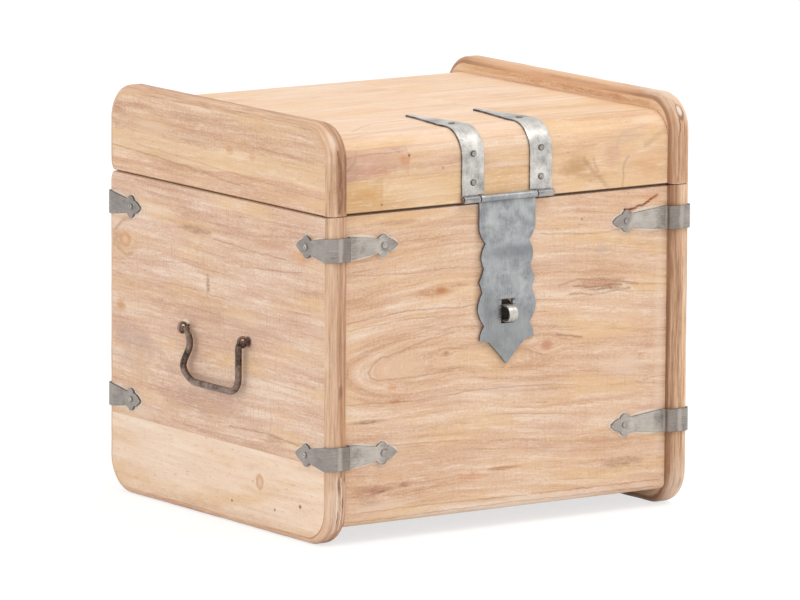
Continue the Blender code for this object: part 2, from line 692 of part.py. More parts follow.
def bail(name, body):
    """A bail: turned-out ends in the eyes, two legs and a bar, thinner where it passes the eyes."""
    span, out = BAIL_HALF_SPAN, BAIL_HALF_SPAN + BAIL_END_LENGTH
    corners = ((-out, 0), (-span, 0), (-span, -BAIL_DROP), (span, -BAIL_DROP), (span, 0), (out, 0))
    path = rounded_line(corners, (BAIL_SHOULDER, BAIL_CORNER, BAIL_CORNER, BAIL_SHOULDER), BEND_STEPS + 1)
    total = lengths(path)[-1]
    bend = BAIL_END_LENGTH + BAIL_SHOULDER
    neck = BAIL_BUTTON_LENGTH + BAIL_BUTTON_NECK
    marks = (0.0, BAIL_BUTTON_LENGTH, neck, BAIL_END_LENGTH - BAIL_SHOULDER, bend)
    sizes = (BAIL_BUTTON_FACE, BAIL_BUTTON_RADIUS, BAIL_END_RADIUS, BAIL_END_RADIUS, BAIL_RADIUS)
    path = with_stations(path, marks[1:3] + tuple(total - m for m in marks[1:3]))
    from_end = np.minimum(lengths(path), total - lengths(path))
    radii = np.interp(from_end, marks, sizes)
    loops = []
    turns = np.arange(ROD_SIDES) * 2 * np.pi / ROD_SIDES
    for (y, z), (side_y, side_z), radius in zip(path, mitres(path), radii):
        across, aside = radius * np.cos(turns), radius * np.sin(turns)
        x = np.full(ROD_SIDES, body["pivot"].x) + aside
        along_y = BAIL_Y + y + across * side_y
        along_z = body["pivot"].z + z + across * side_z
        loops.append(np.column_stack([x, along_y, along_z]))
    loft(name, loops, IRON, body)


def eye(name, side, y, body):
    """A cotter-pin eye: a ring outside the wall, two legs through it, and tails turned apart inside."""
    apart = EYE_WIRE_RADIUS + EYE_LEG_GAP / 2
    start = np.degrees(np.arcsin(apart / EYE_RING_RADIUS))
    ring = arc((0, 0), (EYE_RING_RADIUS, EYE_RING_RADIUS), 180 - start, start - 180, EYE_RING_STEPS)
    inside = -BAIL_OFF_WALL - SIDE_THICKNESS - FIT - EYE_WIRE_RADIUS
    leg = rounded_line(
        [(inside, apart + EYE_TAIL), (inside, apart), tuple(ring[0])],
        [EYE_BEND],
        BEND_STEPS,
    )
    path = np.vstack([leg, ring[1:-1], leg[::-1] * (1, -1)])
    turns = np.arange(WIRE_SIDES) * 2 * np.pi / WIRE_SIDES
    loops = []
    for (out, up), (side_out, side_up) in zip(path, mitres(path)):
        across = EYE_WIRE_RADIUS * np.cos(turns)
        x = side * (BAIL_PIVOT_X + out + across * side_out)
        z = BAIL_HEIGHT + up + across * side_up
        loops.append(np.column_stack([x, y + EYE_WIRE_RADIUS * np.sin(turns), z]))
    loft(name, loops, IRON, body)
    radius = apart + EYE_WIRE_RADIUS + FIT
    start = (side * (INNER_X - radius), y, BAIL_HEIGHT)
    end = (side * (SIDE_X + radius), y, BAIL_HEIGHT)
    return hole_block(start, end, radius, 0)


def handle(word, side, base, body):
    """A bail and its two eyes; returns the holes that the eyes need in the side board."""
    bail("bail_" + word, body)
    reach = BAIL_HALF_SPAN + EYE_FROM_LEG
    places = (("front", BAIL_Y - reach), ("back", BAIL_Y + reach))
    return [eye(f"eye_{word}_{end}", side, y, base) for end, y in places]


def build():
    """Makes the bodies, then every piece of the chest, and cuts the holes that the fittings need."""
    clear_scene()
    base = new_body("base", (0, 0, 0))
    lid = new_body("lid", LID_PIVOT)
    clasp = new_body("hasp", HASP_PIVOT, lid)
    sides = (("left", -1), ("right", 1))

    base_sides = {}
    for word, side in sides:
        base_sides[word] = side_board(f"base_side_{word}", side, 0.0, BASE_TOP, True, base)
        side_board(f"lid_side_{word}", side, LID_BOTTOM, CHEST_HEIGHT, False, lid)
    base_front = panel("base_front_board", base_panel_profile(FRONT_FACE_Y, 1), base)
    base_back = panel("base_back_board", base_panel_profile(BACK_FACE_Y, -1), base)
    floor_front = FRONT_FACE_Y + PANEL_THICKNESS + FIT
    floor_back = BACK_FACE_Y - PANEL_THICKNESS - FIT
    floor_top = FLOOR_RISE + FLOOR_THICKNESS
    floor = [(floor_front, FLOOR_RISE), (floor_back, FLOOR_RISE)]
    panel("base_floor_board", floor + [(floor_back, floor_top), (floor_front, floor_top)], base)
    lid_front = panel("lid_front_board", lid_panel_profile(FRONT_FACE_Y, 1), lid)
    panel("lid_back_board", lid_panel_profile(BACK_FACE_Y, -1), lid)
    lid_top = panel("lid_top_board", lid_top_profile(), lid)

    side_holes = {"left": [], "right": []}
    panel_holes = {"front": [], "back": []}
    for end, front, lower in (
        ("front", True, FRONT_BRACKET_LOWER_HEIGHT),
        ("back", False, BACK_BRACKET_LOWER_HEIGHT),
    ):
        for word, side in sides:
            for level, height in (("upper", BRACKET_UPPER_HEIGHT), ("lower", lower)):
                in_side, in_panel = bracket(f"bracket_{end}_{word}_{level}", side, front, height, base)
                side_holes[word].append(in_side)
                panel_holes[end].append(in_panel)

    face_holes, top_holes = [], []
    for word, side in sides:
        in_face, in_top = strap(f"strap_{word}", side, lid)
        face_holes += in_face
        top_holes += in_top
    strap_outer = STRAP_SPACING / 2 + STRAP_WIDTH / 2
    pin("hasp_pin", HASP_PIVOT, strap_outer, HASP_PIN_RADIUS, lid)
    hasp("hasp_plate", clasp)
    legs = staple("staple", base)

    for word, side in sides:
        middle = side * HINGE_MIDDLE
        hinge_leaf(f"hinge_{word}_base_leaf", middle, -1, base)
        hinge_leaf(f"hinge_{word}_lid_leaf", middle, 1, lid)
        pin(f"hinge_{word}_pin", (middle,) + LID_PIVOT[1:], HINGE_WIDTH / 2, HINGE_PIN_RADIUS, base)

    for word, side in sides:
        held = new_body(f"handle_{word}", (side * BAIL_PIVOT_X, BAIL_Y, BAIL_HEIGHT - BAIL_SAG))
        side_holes[word] += handle(word, side, base, held)
        cut(base_sides[word], f"base_side_{word}_holes", side_holes[word], base)
    cut(base_front, "base_front_board_holes", panel_holes["front"] + legs, base)
    cut(base_back, "base_back_board_holes", panel_holes["back"], base)
    cut(lid_front, "lid_front_board_holes", face_holes, lid)
    cut(lid_top, "lid_top_board_holes", top_holes, lid)


build()
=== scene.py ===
# %% [markdown]
# # A wooden storage chest with iron fittings
#
# The chest is a boarded box with a boarded lid. Two thick side boards carry everything and stand
# proud of it, with generous round corners. Galvanised sheet iron holds it together: corner brackets
# with three-lobed tips, two straps that carry a scalloped hasp, a staple, and a wrought bail at each
# side. The packed CAD model is the fixed frame, and this script lays a finer surface over each of its
# solids, in the same place, and gives each surface its own wood or iron.

# %% The fixed frame
import json
import bmesh
import bpy
import numpy as np
from mathutils import Matrix, Vector
from types import SimpleNamespace

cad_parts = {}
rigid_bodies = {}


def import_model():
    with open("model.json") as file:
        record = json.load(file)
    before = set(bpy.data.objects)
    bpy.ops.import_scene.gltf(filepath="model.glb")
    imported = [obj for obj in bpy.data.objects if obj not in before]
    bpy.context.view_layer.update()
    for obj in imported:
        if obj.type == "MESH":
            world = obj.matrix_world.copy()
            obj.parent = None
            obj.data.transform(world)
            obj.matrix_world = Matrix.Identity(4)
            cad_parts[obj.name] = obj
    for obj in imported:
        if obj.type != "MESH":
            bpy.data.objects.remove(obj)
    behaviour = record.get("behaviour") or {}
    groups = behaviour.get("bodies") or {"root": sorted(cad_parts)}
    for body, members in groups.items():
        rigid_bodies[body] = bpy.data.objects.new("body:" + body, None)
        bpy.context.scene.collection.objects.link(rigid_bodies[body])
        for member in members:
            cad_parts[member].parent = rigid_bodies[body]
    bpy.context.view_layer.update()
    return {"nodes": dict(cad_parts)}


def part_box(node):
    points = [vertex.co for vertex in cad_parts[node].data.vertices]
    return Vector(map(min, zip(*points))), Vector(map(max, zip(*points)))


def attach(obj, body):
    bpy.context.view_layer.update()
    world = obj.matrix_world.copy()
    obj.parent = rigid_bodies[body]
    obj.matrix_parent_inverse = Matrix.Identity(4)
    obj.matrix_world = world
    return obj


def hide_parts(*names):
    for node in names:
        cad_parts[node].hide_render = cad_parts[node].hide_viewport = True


for leftover in list(bpy.data.objects):
    bpy.data.objects.remove(leftover)
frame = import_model()

# %% [markdown]
# ## Places taken from the frame
#
# Nothing is fitted by eye: each place below is read from a box of the packed model, so that a finer
# surface sits exactly where its solid is. Lengths are in metres, and MM keeps small sizes readable.

# %% Places
MM = 0.001
FIT = 0.3 * MM


def low(node, axis):
    """The lowest coordinate of a node along an axis, 0 to 2."""
    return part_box(node)[0][axis]


def high(node, axis):
    """The highest coordinate of a node along an axis, 0 to 2."""
    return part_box(node)[1][axis]


side_x = high("base_side_right", 0)
inner_x = low("base_side_right", 0)
front_y = low("base_side_right", 1)
back_y = high("base_side_right", 1)
face_y = low("base_front_board", 1)
back_face_y = high("base_back_board", 1)
base_top = high("base_side_right", 2)
lid_bottom = low("lid_side_right", 2)
chest_top = high("lid_side_right", 2)
lid_top = high("lid_top_board", 2)
lid_joint = high("lid_front_board", 2)
middle_y = (front_y + back_y) / 2
seam = (base_top + lid_bottom) / 2
fitting_x = (low("staple", 0) + high("staple", 0)) / 2
print("side boards", round(side_x, 4), "seam at", round(seam, 4), "fittings at", round(fitting_x, 4))

# %% [markdown]
# ## From arrays to a piece
#
# A surface is a grid of points worked out at once by numpy. A piece is made of one or more such
# grids, laid edge to edge. They could be modelled by hand with loop cuts, but then every change of a
# size would mean doing it again. Here the grids go into one mesh, points that meet are welded, and the
# map "grain" keeps for each corner the distance along the fibres and the distance across them, in
# metres. The wood and the brushed iron are drawn on that map. A side board's inner face and its rim lie
# INNER_SHIFT and BAND_SHIFT metres along it, so that their grain and marks are their own.

# %% Grids into a mesh
WELD = 0.004 * MM
SHEET_SHARP = 38.0
BOARD_SHARP = 30.0
INNER_SHIFT, BAND_SHIFT = 2.0, 8.0


def grid_quads(rows, columns, start):
    """Corner numbers of the four-sided cells of a grid whose first point has the given number."""
    corner = start + np.arange(rows - 1)[:, None] * columns + np.arange(columns - 1)[None, :]
    return np.stack([corner, corner + 1, corner + columns + 1, corner + columns], axis=-1)


def add_piece(name, grids, finish, body, slot, node, caps=(), sharp=SHEET_SHARP):
    """Makes one piece. A grid is (points, map, open cells or None) and a cap is (points, map).

    A map of three columns holds the edge mark as well, which the iron darkens as rust and painted shade: 1
    on a sheet's cut edge and 0 on its face.
    Edges bent by more than `sharp` degrees stay crisp.
    """
    points, maps, faces, count = [], [], [], 0
    for place, spread, opened in grids:
        rows, columns = place.shape[:2]
        quads = grid_quads(rows, columns, count)
        kept = quads.reshape(-1, 4) if opened is None else quads[~opened]
        faces += kept.tolist()
        points.append(place.reshape(-1, 3))
        maps.append(spread.reshape(-1, spread.shape[-1]))
        count += rows * columns
    for place, spread in caps:
        faces.append(list(range(count, count + len(place))))
        points.append(place)
        maps.append(spread)
        count += len(place)
    points, maps = np.vstack(points), np.vstack(maps)
    mesh = bpy.data.meshes.new(name)
    mesh.from_pydata(points.tolist(), [], faces)
    corners = np.empty(len(mesh.loops), dtype=np.int32)
    mesh.loops.foreach_get("vertex_index", corners)
    grain_map = mesh.uv_layers.new(name="grain")
    grain_map.data.foreach_set("uv", maps[corners, :2].astype(np.float32).ravel())
    if maps.shape[1] == 3:
        edge = mesh.attributes.new("edge", "FLOAT", "POINT")
        edge.data.foreach_set("value", maps[:, 2].astype(np.float32))
    shell = bmesh.new()
    shell.from_mesh(mesh)
    bmesh.ops.remove_doubles(shell, verts=shell.verts, dist=WELD)
    bmesh.ops.recalc_face_normals(shell, faces=shell.faces)
    shell.to_mesh(mesh)
    shell.free()
    mesh.shade_smooth()
    mesh.set_sharp_from_angle(angle=np.radians(sharp))
    mesh.materials.append(finish)
    piece = bpy.data.objects.new(name, mesh)
    bpy.context.scene.collection.objects.link(piece)
    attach(piece, body)
    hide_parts(node)
    made[name] = piece
    return piece


made = {}
print("a grid of 3 by 4 points has", grid_quads(3, 4, 0).reshape(-1, 4).shape[0], "cells")

# %% [markdown]
# ## Lines and outlines
#
# Most of the chest is drawn as a flat line: the edge of a board, the middle of a bent sheet, the
# centre of a rod. These helpers draw arcs, round the corners of a line, and place points at even
# distances along it.

# %% Line helpers
SAME_PLACE = MM / 100
RIPPLE_WAVES = ((1.0, 1.0), (1.73, 2.1), (0.41, 3.7))


def arc(centre, radii, start, end, steps):
    """Points at centre + (r1 cos t, r2 sin t), for t from start to end in degrees."""
    turn = np.radians(np.linspace(start, end, steps + 1))
    return np.array(centre) + np.column_stack([radii[0] * np.cos(turn), radii[1] * np.sin(turn)])


def unit(vector):
    """A vector of length one in the same direction."""
    return vector / np.linalg.norm(vector)


def round_corner(before, corner, after, radius, steps):
    """The arc that touches both arms of a corner, turned from one touching point to the other."""
    before, corner, after = (np.array(p, float) for p in (before, corner, after))
    back, ahead = unit(before - corner), unit(after - corner)
    half = np.arccos(np.clip(back @ ahead, -1, 1)) / 2
    centre = corner + unit(back + ahead) * radius / np.sin(half)
    start = corner + back * radius / np.tan(half) - centre
    end = corner + ahead * radius / np.tan(half) - centre
    sweep = np.pi - 2 * half
    turn = np.linspace(0, sweep, steps + 1)[:, None]
    return centre + (np.sin(sweep - turn) * start + np.sin(turn) * end) / np.sin(sweep)


def rounded_line(corners, radii, steps):
    """An open line through its corners, each rounded by its own radius."""
    bends = [
        round_corner(corners[i], corners[i + 1], corners[i + 2], radius, steps)
        for i, radius in enumerate(radii)
    ]
    return np.vstack([[corners[0]], *bends, [corners[-1]]])


def lengths(path):
    """Distance along a line to each of its points."""
    steps = np.linalg.norm(np.diff(path, axis=0), axis=1)
    return np.concatenate([[0.0], np.cumsum(steps)])


def walk(path, spacing, marks=()):
    """The same line with points at an even spacing, at its own corners and at the marked distances."""
    along = lengths(path)
    fixed = np.unique(np.concatenate([along, [m for m in marks if np.abs(along - m).min() > SAME_PLACE]]))
    even = np.linspace(0, along[-1], int(np.ceil(along[-1] / spacing)) + 1)
    free = np.abs(even[:, None] - fixed[None, :]).min(axis=1) > spacing / 4
    every = np.sort(np.concatenate([fixed, even[free]]))
    return np.column_stack([np.interp(every, along, path[:, i]) for i in range(path.shape[1])])


def mitres(path):
    """Sideways direction at each point of a flat line, lengthened at bends to keep a sheet even."""
    ways = np.diff(path, axis=0)
    ways = ways / np.linalg.norm(ways, axis=1)[:, None]
    sides = np.column_stack([-ways[:, 1], ways[:, 0]])
    before, after = np.vstack([sides[:1], sides]), np.vstack([sides, sides[-1:]])
    return (before + after) / (1 + (before * after).sum(axis=1))[:, None]


def ripple(along, wave, seed):
    """A slow unevenness from -1 to 1: three sines whose waves don't fit each other."""
    phase = 2 * np.pi * along / wave
    waves = [np.sin(ratio * phase + start * seed) for ratio, start in RIPPLE_WAVES]
    return sum(waves) / len(waves)


quarter = arc((0, 0), (1, 1), 0, 90, 90)
print("a quarter circle of radius 1 is", round(lengths(quarter)[-1], 4), "long")

# %% [markdown]
# ## Nodes as formulas
#
# The finishes are node trees. Drawn by hand, a wood of two hundred nodes can't be read. A Field wraps
# one output of a node, so that sums and products of fields read as the formula they are, and each
# operation adds the Math node it needs.

# %% Field: a value that varies over a surface


class Field:
    """A socket of a node tree that takes part in formulas."""

    def __init__(self, tree, socket):
        self.tree, self.socket = tree, socket

    def math(self, operation, *others):
        """A Math node that works on this field and the others."""
        node = self.tree.nodes.new("ShaderNodeMath")
        node.operation = operation
        for slot, value in zip(node.inputs, (self, *others)):
            if isinstance(value, Field):
                self.tree.links.new(value.socket, slot)
            else:
                slot.default_value = float(value)
        return Field(self.tree, node.outputs[0])

    def __add__(self, other):
        return self.math("ADD", other)

    def __sub__(self, other):
        return self.math("SUBTRACT", other)

    def __rsub__(self, other):
        return (self * -1).math("ADD", other)

    def __mul__(self, other):
        return self.math("MULTIPLY", other)

    __radd__, __rmul__ = __add__, __mul__

    def __truediv__(self, other):
        return self.math("DIVIDE", other)

    def power(self, exponent):
        """This field to a power."""
        return self.math("POWER", exponent)

    def root(self):
        """Its square root."""
        return self.math("SQRT")

    def size(self):
        """Its value without the sign."""
        return self.math("ABSOLUTE")

    def above(self, edge):
        """1 where it is more than the edge, and 0 elsewhere."""
        return self.math("GREATER_THAN", edge)

    def least(self, other):
        """The smaller of the two."""
        return self.math("MINIMUM", other)

    def most(self, other):
        """The larger of the two."""
        return self.math("MAXIMUM", other)

    def clipped(self):
        """Held between 0 and 1."""
        return self.most(0.0).least(1.0)

    def rise(self, start, end):
        """0 below start, 1 above end, and a smooth step between; a fall where start is above end."""
        node = self.tree.nodes.new("ShaderNodeMapRange")
        node.interpolation_type = "SMOOTHSTEP"
        self.tree.links.new(self.socket, node.inputs["Value"])
        turned = start > end
        node.inputs["From Min"].default_value = min(start, end)
        node.inputs["From Max"].default_value = max(start, end)
        node.inputs["To Min"].default_value = 1.0 if turned else 0.0
        node.inputs["To Max"].default_value = 0.0 if turned else 1.0
        return Field(self.tree, node.outputs["Result"])


print("operations of a field:", len([name for name in vars(Field) if not name.startswith("_")]))

# %% Vectors and noise


def joined(tree, x, y, z=0.0):
    """A vector from three fields or numbers."""
    node = tree.nodes.new("ShaderNodeCombineXYZ")
    for slot, value in zip(node.inputs, (x, y, z)):
        if isinstance(value, Field):
            tree.links.new(value.socket, slot)
        else:
            slot.default_value = float(value)
    return node.outputs[0]


def vector(tree, operation, *values):
    """A Vector Math node on sockets, fields or triples of numbers. LENGTH and DOT_PRODUCT give a field."""
    node = tree.nodes.new("ShaderNodeVectorMath")
    node.operation = operation
    slots = (node.inputs[0], node.inputs["Scale"]) if operation == "SCALE" else node.inputs
    for slot, value in zip(slots, values):
        if isinstance(value, tuple):
            slot.default_value = value
        else:
            tree.links.new(getattr(value, "socket", value), slot)
    if operation in ("LENGTH", "DOT_PRODUCT"):
        return Field(tree, node.outputs["Value"])
    return node.outputs["Vector"]


SEED_STEP = (13.7, 7.3)


def clouds(x, y, seed, detail=2.0, roughness=0.5, z=0.0):
    """Noise round 0, mostly from -0.3 to 0.3, a blob for each unit of x and y. A seed moves the place."""
    tree = x.tree
    node = tree.nodes.new("ShaderNodeTexNoise")
    node.noise_dimensions = "3D"
    node.inputs["Scale"].default_value = 1.0
    node.inputs["Detail"].default_value = detail
    node.inputs["Roughness"].default_value = roughness
    place = joined(tree, x + SEED_STEP[0] * seed, y + SEED_STEP[1] * seed, z)
    tree.links.new(place, node.inputs["Vector"])
    return Field(tree, node.outputs[0]) - 0.5


print("each seed moves a noise by", SEED_STEP, "blobs")

# %% Colours and new finishes


def paint(red, green, blue):
    """A colour as it is seen on a screen, 0 to 255, turned into the linear one that shaders use."""
    seen = np.array([red, green, blue]) / 255
    linear = np.where(seen <= 0.04045, seen / 12.92, ((seen + 0.055) / 1.055) ** 2.4)
    return (*linear.tolist(), 1.0)


def blended(share, first, second, way="MIX"):
    """Two colours, each a tuple or a socket, mixed by a field from 0 to 1."""
    tree = share.tree
    node = tree.nodes.new("ShaderNodeMix")
    node.data_type, node.blend_type = "RGBA", way
    tree.links.new(share.socket, node.inputs[0])
    for slot, value in ((node.inputs[6], first), (node.inputs[7], second)):
        if isinstance(value, tuple):
            slot.default_value = value
        else:
            tree.links.new(value, slot)
    return node.outputs[2]


def new_finish(name):
    """A new material with its tree, its surface shader and the two fields of the grain map."""
    material = bpy.data.materials.new(name)
    material.use_nodes = True
    tree = material.node_tree
    shader = tree.nodes["Principled BSDF"]
    spread = tree.nodes.new("ShaderNodeUVMap")
    spread.uv_map = "grain"
    split = tree.nodes.new("ShaderNodeSeparateXYZ")
    tree.links.new(spread.outputs[0], split.inputs[0])
    return material, tree, shader, Field(tree, split.outputs[0]), Field(tree, split.outputs[1])


def set_relief(tree, shader, height):
    """Joins a height field, in metres, to the shader's normal by a Bump node."""
    bump = tree.nodes.new("ShaderNodeBump")
    bump.inputs["Strength"].default_value = 1.0
    bump.inputs["Distance"].default_value = 1.0
    tree.links.new(height.socket, bump.inputs["Height"])
    tree.links.new(bump.outputs[0], shader.inputs["Normal"])


print("a middle grey of 128 is", round(paint(128, 128, 128)[0], 3), "in linear light")

# %% [markdown]
# ## The wood
#
# The boards are a pale hardwood, sawn flat, sanded and whitened: peach and cream bands, pinkish
# heartwood, a few knots, and thin dark lines where a growth ring comes out. A wood could be one noise
# stretched along the board, but real grain bends: it runs round knots and makes pointed arches where
# the saw cut through a cone of rings. So the tree first works out `level`, the growth level at each
# point, and every streak is noise drawn along lines of equal level.

# %% Tones of the wood
CREAM = paint(240, 214, 190)
PEACH = paint(228, 190, 159)
TAN = paint(206, 162, 128)
ROSE = paint(209, 163, 140)
HONEY = paint(233, 194, 148)
BARK = paint(170, 122, 94)
UMBER = paint(138, 97, 72)
CHALK = paint(247, 230, 212)
HALO = paint(249, 234, 218)
DEEP_BROWN = paint(66, 48, 40)
GREY_STAIN = paint(186, 170, 160)
RUST = paint(132, 66, 44)
RIM_DARK = paint(128, 84, 60)
RIM_TONES = (paint(229, 190, 158), paint(170, 122, 88), RIM_DARK)
print("cream is", round(CREAM[1] / BARK[1], 1), "times as bright as bark")

# %% [markdown]
# ## Layers of grain
#
# Seen from near, wood is many patterns at once: broad bands, streaks, single fibres, hairs, washed
# patches and the marks of saw and sandpaper. One noise with much detail would show them all at one
# slant. Here each is a noise of its own, long along the fibres and narrow across them, and a table holds
# its scales: how many blobs to a metre along and across, its seed, its detail and its roughness.

# %% Grain layers
GRAIN_LAYERS = {
    "drift": ("along", "across", 6.0, 9.0, 14.0, 3.0, 0.5),
    "broad": ("shifted", "level", 5.0, 30.0, 1.0, 2.0, 0.5),
    "bands": ("shifted", "level", 10.0, 160.0, 2.0, 4.0, 0.7),
    "fibres": ("shifted", "level", 60.0, 900.0, 3.0, 3.0, 0.75),
    "hairs": ("shifted", "level", 170.0, 2400.0, 4.0, 1.0, 0.5),
    "wash": ("shifted", "across", 30.0, 80.0, 5.0, 5.0, 0.75),
    "warm": ("shifted", "level", 8.0, 36.0, 6.0, 3.0, 0.5),
    "grit": ("along", "across", 330.0, 500.0, 10.0, 2.0, 0.7),
    "sawn": ("along", "across", 460.0, 22.0, 13.0, 2.0, 0.7),
    "rings": ("shifted", "level", 1.8, 22.0, 7.0, 2.0, 0.5),
    "lively": ("shifted", "level", 10.0, 80.0, 8.0, 3.0, 0.5),
    "heart": ("shifted", "level", 5.0, 50.0, 9.0, 4.0, 0.7),
    "scratch": ("shifted", "level", 95.0, 330.0, 11.0, 5.0, 0.85),
    "sway": ("along", "across", 60.0, 30.0, 12.0, 3.0, 0.7),
    "rim_sway": ("along", "across", 8.0, 24.0, 20.0, 1.0, 0.5),
    "rim_wide": ("along", "swayed", 9.0, 230.0, 21.0, 3.0, 0.65),
    "rim_fine": ("along", "swayed", 40.0, 850.0, 22.0, 3.0, 0.75),
    "rim_patch": ("along", "across", 34.0, 90.0, 23.0, 4.0, 0.75),
    "rim_dash": ("along", "across", 100.0, 260.0, 24.0, 3.0, 0.8),
    "brush": ("along", "across", 60.0, 1300.0, 2.0, 3.0, 0.7),
    "dash": ("along", "across", 130.0, 700.0, 4.0, 3.0, 0.7),
}


def layer(board, name):
    """One layer of a board's grain, clouds(lengthwise a, crosswise b), as its row of the table says."""
    lengthwise, crosswise, a, b, step, detail, roughness = GRAIN_LAYERS[name]
    x, y = getattr(board, lengthwise), getattr(board, crosswise)
    return clouds(x * a, y * b, board.seed + step, detail, roughness)


print("layers of grain:", len(GRAIN_LAYERS))

# %% [markdown]
# ## Growth level
#
# A flat-sawn board cuts the rings of the tree at a shallow slant. Its figure is the set of lines of
# equal distance from the tree's axis, so the level is worked out as that distance: where the axis dips
# under the board's face, the lines close into the pointed arches that are seen on the chest's front.

# %% Growth level
RING_SPACE = 7.5 * MM
RING_WANDER = 2.4
RING_CRISP = 8.0
ARCH_REACH = 0.11
KNOT_LONG, KNOT_WIDE = 2.6, 2.2
KNOT_SOFT = 0.5
KNOT_PUSH = 0.9
PLANK_APART = 3.3
WANDER = ((3.3, 11.0, 0.0, 0.016), (16.0, 50.0, 0.5, 0.0028))


def arch_level(along, across, arch):
    """Growth level of a flat-sawn board: the distance from the tree's axis, which dips under the face.

    level = sqrt((across - centre)^2 + depth^2), where depth falls by slope for each metre along. The
    centre line climbs by tilt at first and falls later. Lines of equal level are arches.
    """
    tip, centre, tilt, fall, depth, slope, least = arch
    past = along - tip
    under = (depth - past * slope).most(least)
    later = (past - ARCH_REACH).most(0.0)
    beside = across - centre - past.most(0.0).least(ARCH_REACH) * tilt + later * fall
    return (beside * beside + under * under).root()


def knot_push(along, across, knot):
    """How far the fibres are pushed aside by a knot: most at its rim, nothing a few radii away."""
    x, y, wide, tall = (MM * size for size in knot[:4])
    lengthwise, crosswise = (along - x) / (KNOT_LONG * wide), (across - y) / (KNOT_WIDE * tall)
    near = lengthwise.power(2.0) + crosswise.power(2.0)
    beside = across - y
    turned = beside / (beside * beside + (KNOT_SOFT * tall) ** 2).root()
    return turned * (1.0 - near).most(0.0).power(2.0) * tall * KNOT_PUSH


def from_plank(along, across, plank):
    """1 from a plank's lower edge up, as far along as the plank goes."""
    reached = across.above(plank[0] * MM)
    return reached if len(plank) < 6 else reached * (1.0 - along.above(plank[5] * MM))


def growth(along, across, planks, knots, arch, fuzzy, seed):
    """A board's planks and, at each point, the growth level that its grain follows.

    Every plank is shifted far along the noise, so that the grain breaks off at a joint. The level
    wanders by two slow noises, and each knot pushes it aside.
    """
    board = SimpleNamespace(along=along, across=across, seed=seed)
    drift = layer(board, "drift") * fuzzy * MM
    reached = [from_plank(along, across + drift, plank) for plank in planks]
    plank, figure = across * 0.0, across * 0.0 + planks[0][4]
    for mask, before, after in zip(reached[1:], planks, planks[1:]):
        plank = plank + mask
        figure = figure + mask * (after[4] - before[4])
    shifted = along + plank * PLANK_APART
    level = arch_level(along, across, arch) if arch else across
    for lengthwise, crosswise, step, amount in WANDER:
        level = level + clouds(shifted * lengthwise, across * crosswise, seed + step, 1.0) * amount
    for knot in knots:
        level = level - knot_push(along, across, knot)
    board.shifted, board.level, board.reached, board.figure = shifted, level, reached, figure
    return board


print("growth rings are", round(RING_SPACE / MM, 1), "mm apart")


# %% [markdown]
# ## Coats
#
# A colour is built up as paint is: a ground, then thin coats, each a tone and the share with which it
# covers what lies under it. The functions below give their coats one by one, and `coated` lays them on.

# %% Ground, grain and wear
EARLY_LAYERS = ("broad", "bands", "fibres", "hairs", "wash", "warm", "grit", "sawn")


def coated(colour, coats):
    """The colour with each coat laid over it in turn. A coat is (share, tone)."""
    for share, tone in coats:
        colour = blended(share, colour, tone)
    return colour


def ground(board, planks, rough):
    """The planks' own colours: three tones for each, chosen by how dark the bands are there."""
    contrast = board.figure * (rough + 0.5) + 0.35
    share = (0.5 + board.broad * 1.7 + board.bands * 1.9 + board.grit * contrast).clipped()
    colour = None
    for mask, (_, light, middle, dark, *_) in zip(board.reached, planks):
        shade = blended(share.rise(0.0, 0.5), light, middle)
        shade = blended(share.rise(0.5, 1.0) * 0.9, shade, dark)
        colour = shade if colour is None else blended(mask, colour, shade)
    return colour


def grain_coats(board, late, lively, chalk):
    """Warm and honey patches, heartwood, late rings, fibres, the whitening in the pores, and flecks."""
    fibres, bands, wash, figure = board.fibres, board.bands, board.wash, board.figure
    yield board.warm.rise(0.05, 0.25) * figure * 0.7, ROSE
    yield board.warm.rise(0.02, -0.2) * 0.75, HONEY
    heart = layer(board, "heart")
    yield heart.rise(0.12, 0.18) * figure * 0.36, ROSE
    yield late * lively * 0.9, BARK
    plain = (0.5 + wash * 1.5 + board.broad * 1.5).clipped()
    yield (fibres * 3.0 + bands * 1.2).clipped() * (0.3 + figure * 0.9) * plain, TAN
    yield (wash * 2.8 - fibres * 2.4 - bands * 1.4 - 0.1).clipped() * chalk, CHALK
    flecks = (fibres * 1.3 + board.hairs * 0.9 + bands * 0.9 + board.grit * 0.5).rise(0.3, 0.55)
    yield flecks * (0.25 + figure * 0.7) * (plain + 0.25), UMBER


def wear_coats(board, scratch, rough, saw):
    """Dark and pale scratches of the sandpaper, and the cross marks of the saw."""
    yield scratch.rise(0.05, 0.24) * rough, BARK
    yield scratch.rise(-0.06, -0.25) * rough, CHALK
    yield board.sawn.rise(0.05, 0.3) * board.figure * saw, BARK


print("layers that several coats share:", len(EARLY_LAYERS))


# %% [markdown]
# ## Marks on a board
#
# Stains, cracks, knots and let-in lengths of wood are what tells one board from another. A painted
# image could hold them, but it blurs from near and needs a painter. Here each mark is a mask, a field
# that is 1 on the mark and falls to 0 beside it, worked out from a few numbers that were read off the
# real board. Noise makes its rim ragged, as ink spreads in fibres.

# %% Masks
SPOT_FALL = 0.25
CRISP_SHARE = 0.15
LINE_CORE = 0.1


def spot(tree, at, place, ragged=None, share=1.0):
    """1 in the middle of an ellipse, falling smoothly to 0 at its rim, with a ragged edge if given.

    place is (x, y, half width, half height, amount, colour) and, at will, where the fall ends.
    """
    x, y, wide, tall = (MM * size for size in place[:4])
    wide, tall = wide * share, tall * share
    drawn = vector(tree, "MULTIPLY_ADD", at, (1 / wide, 1 / tall, 0.0), (-x / wide, -y / tall, 0.0))
    reach = vector(tree, "LENGTH", drawn)
    if ragged is not None:
        reach = reach + ragged * (CRISP_SHARE if len(place) > 6 else 1.0)
    return reach.rise(1.0, place[6] if len(place) > 6 else SPOT_FALL)


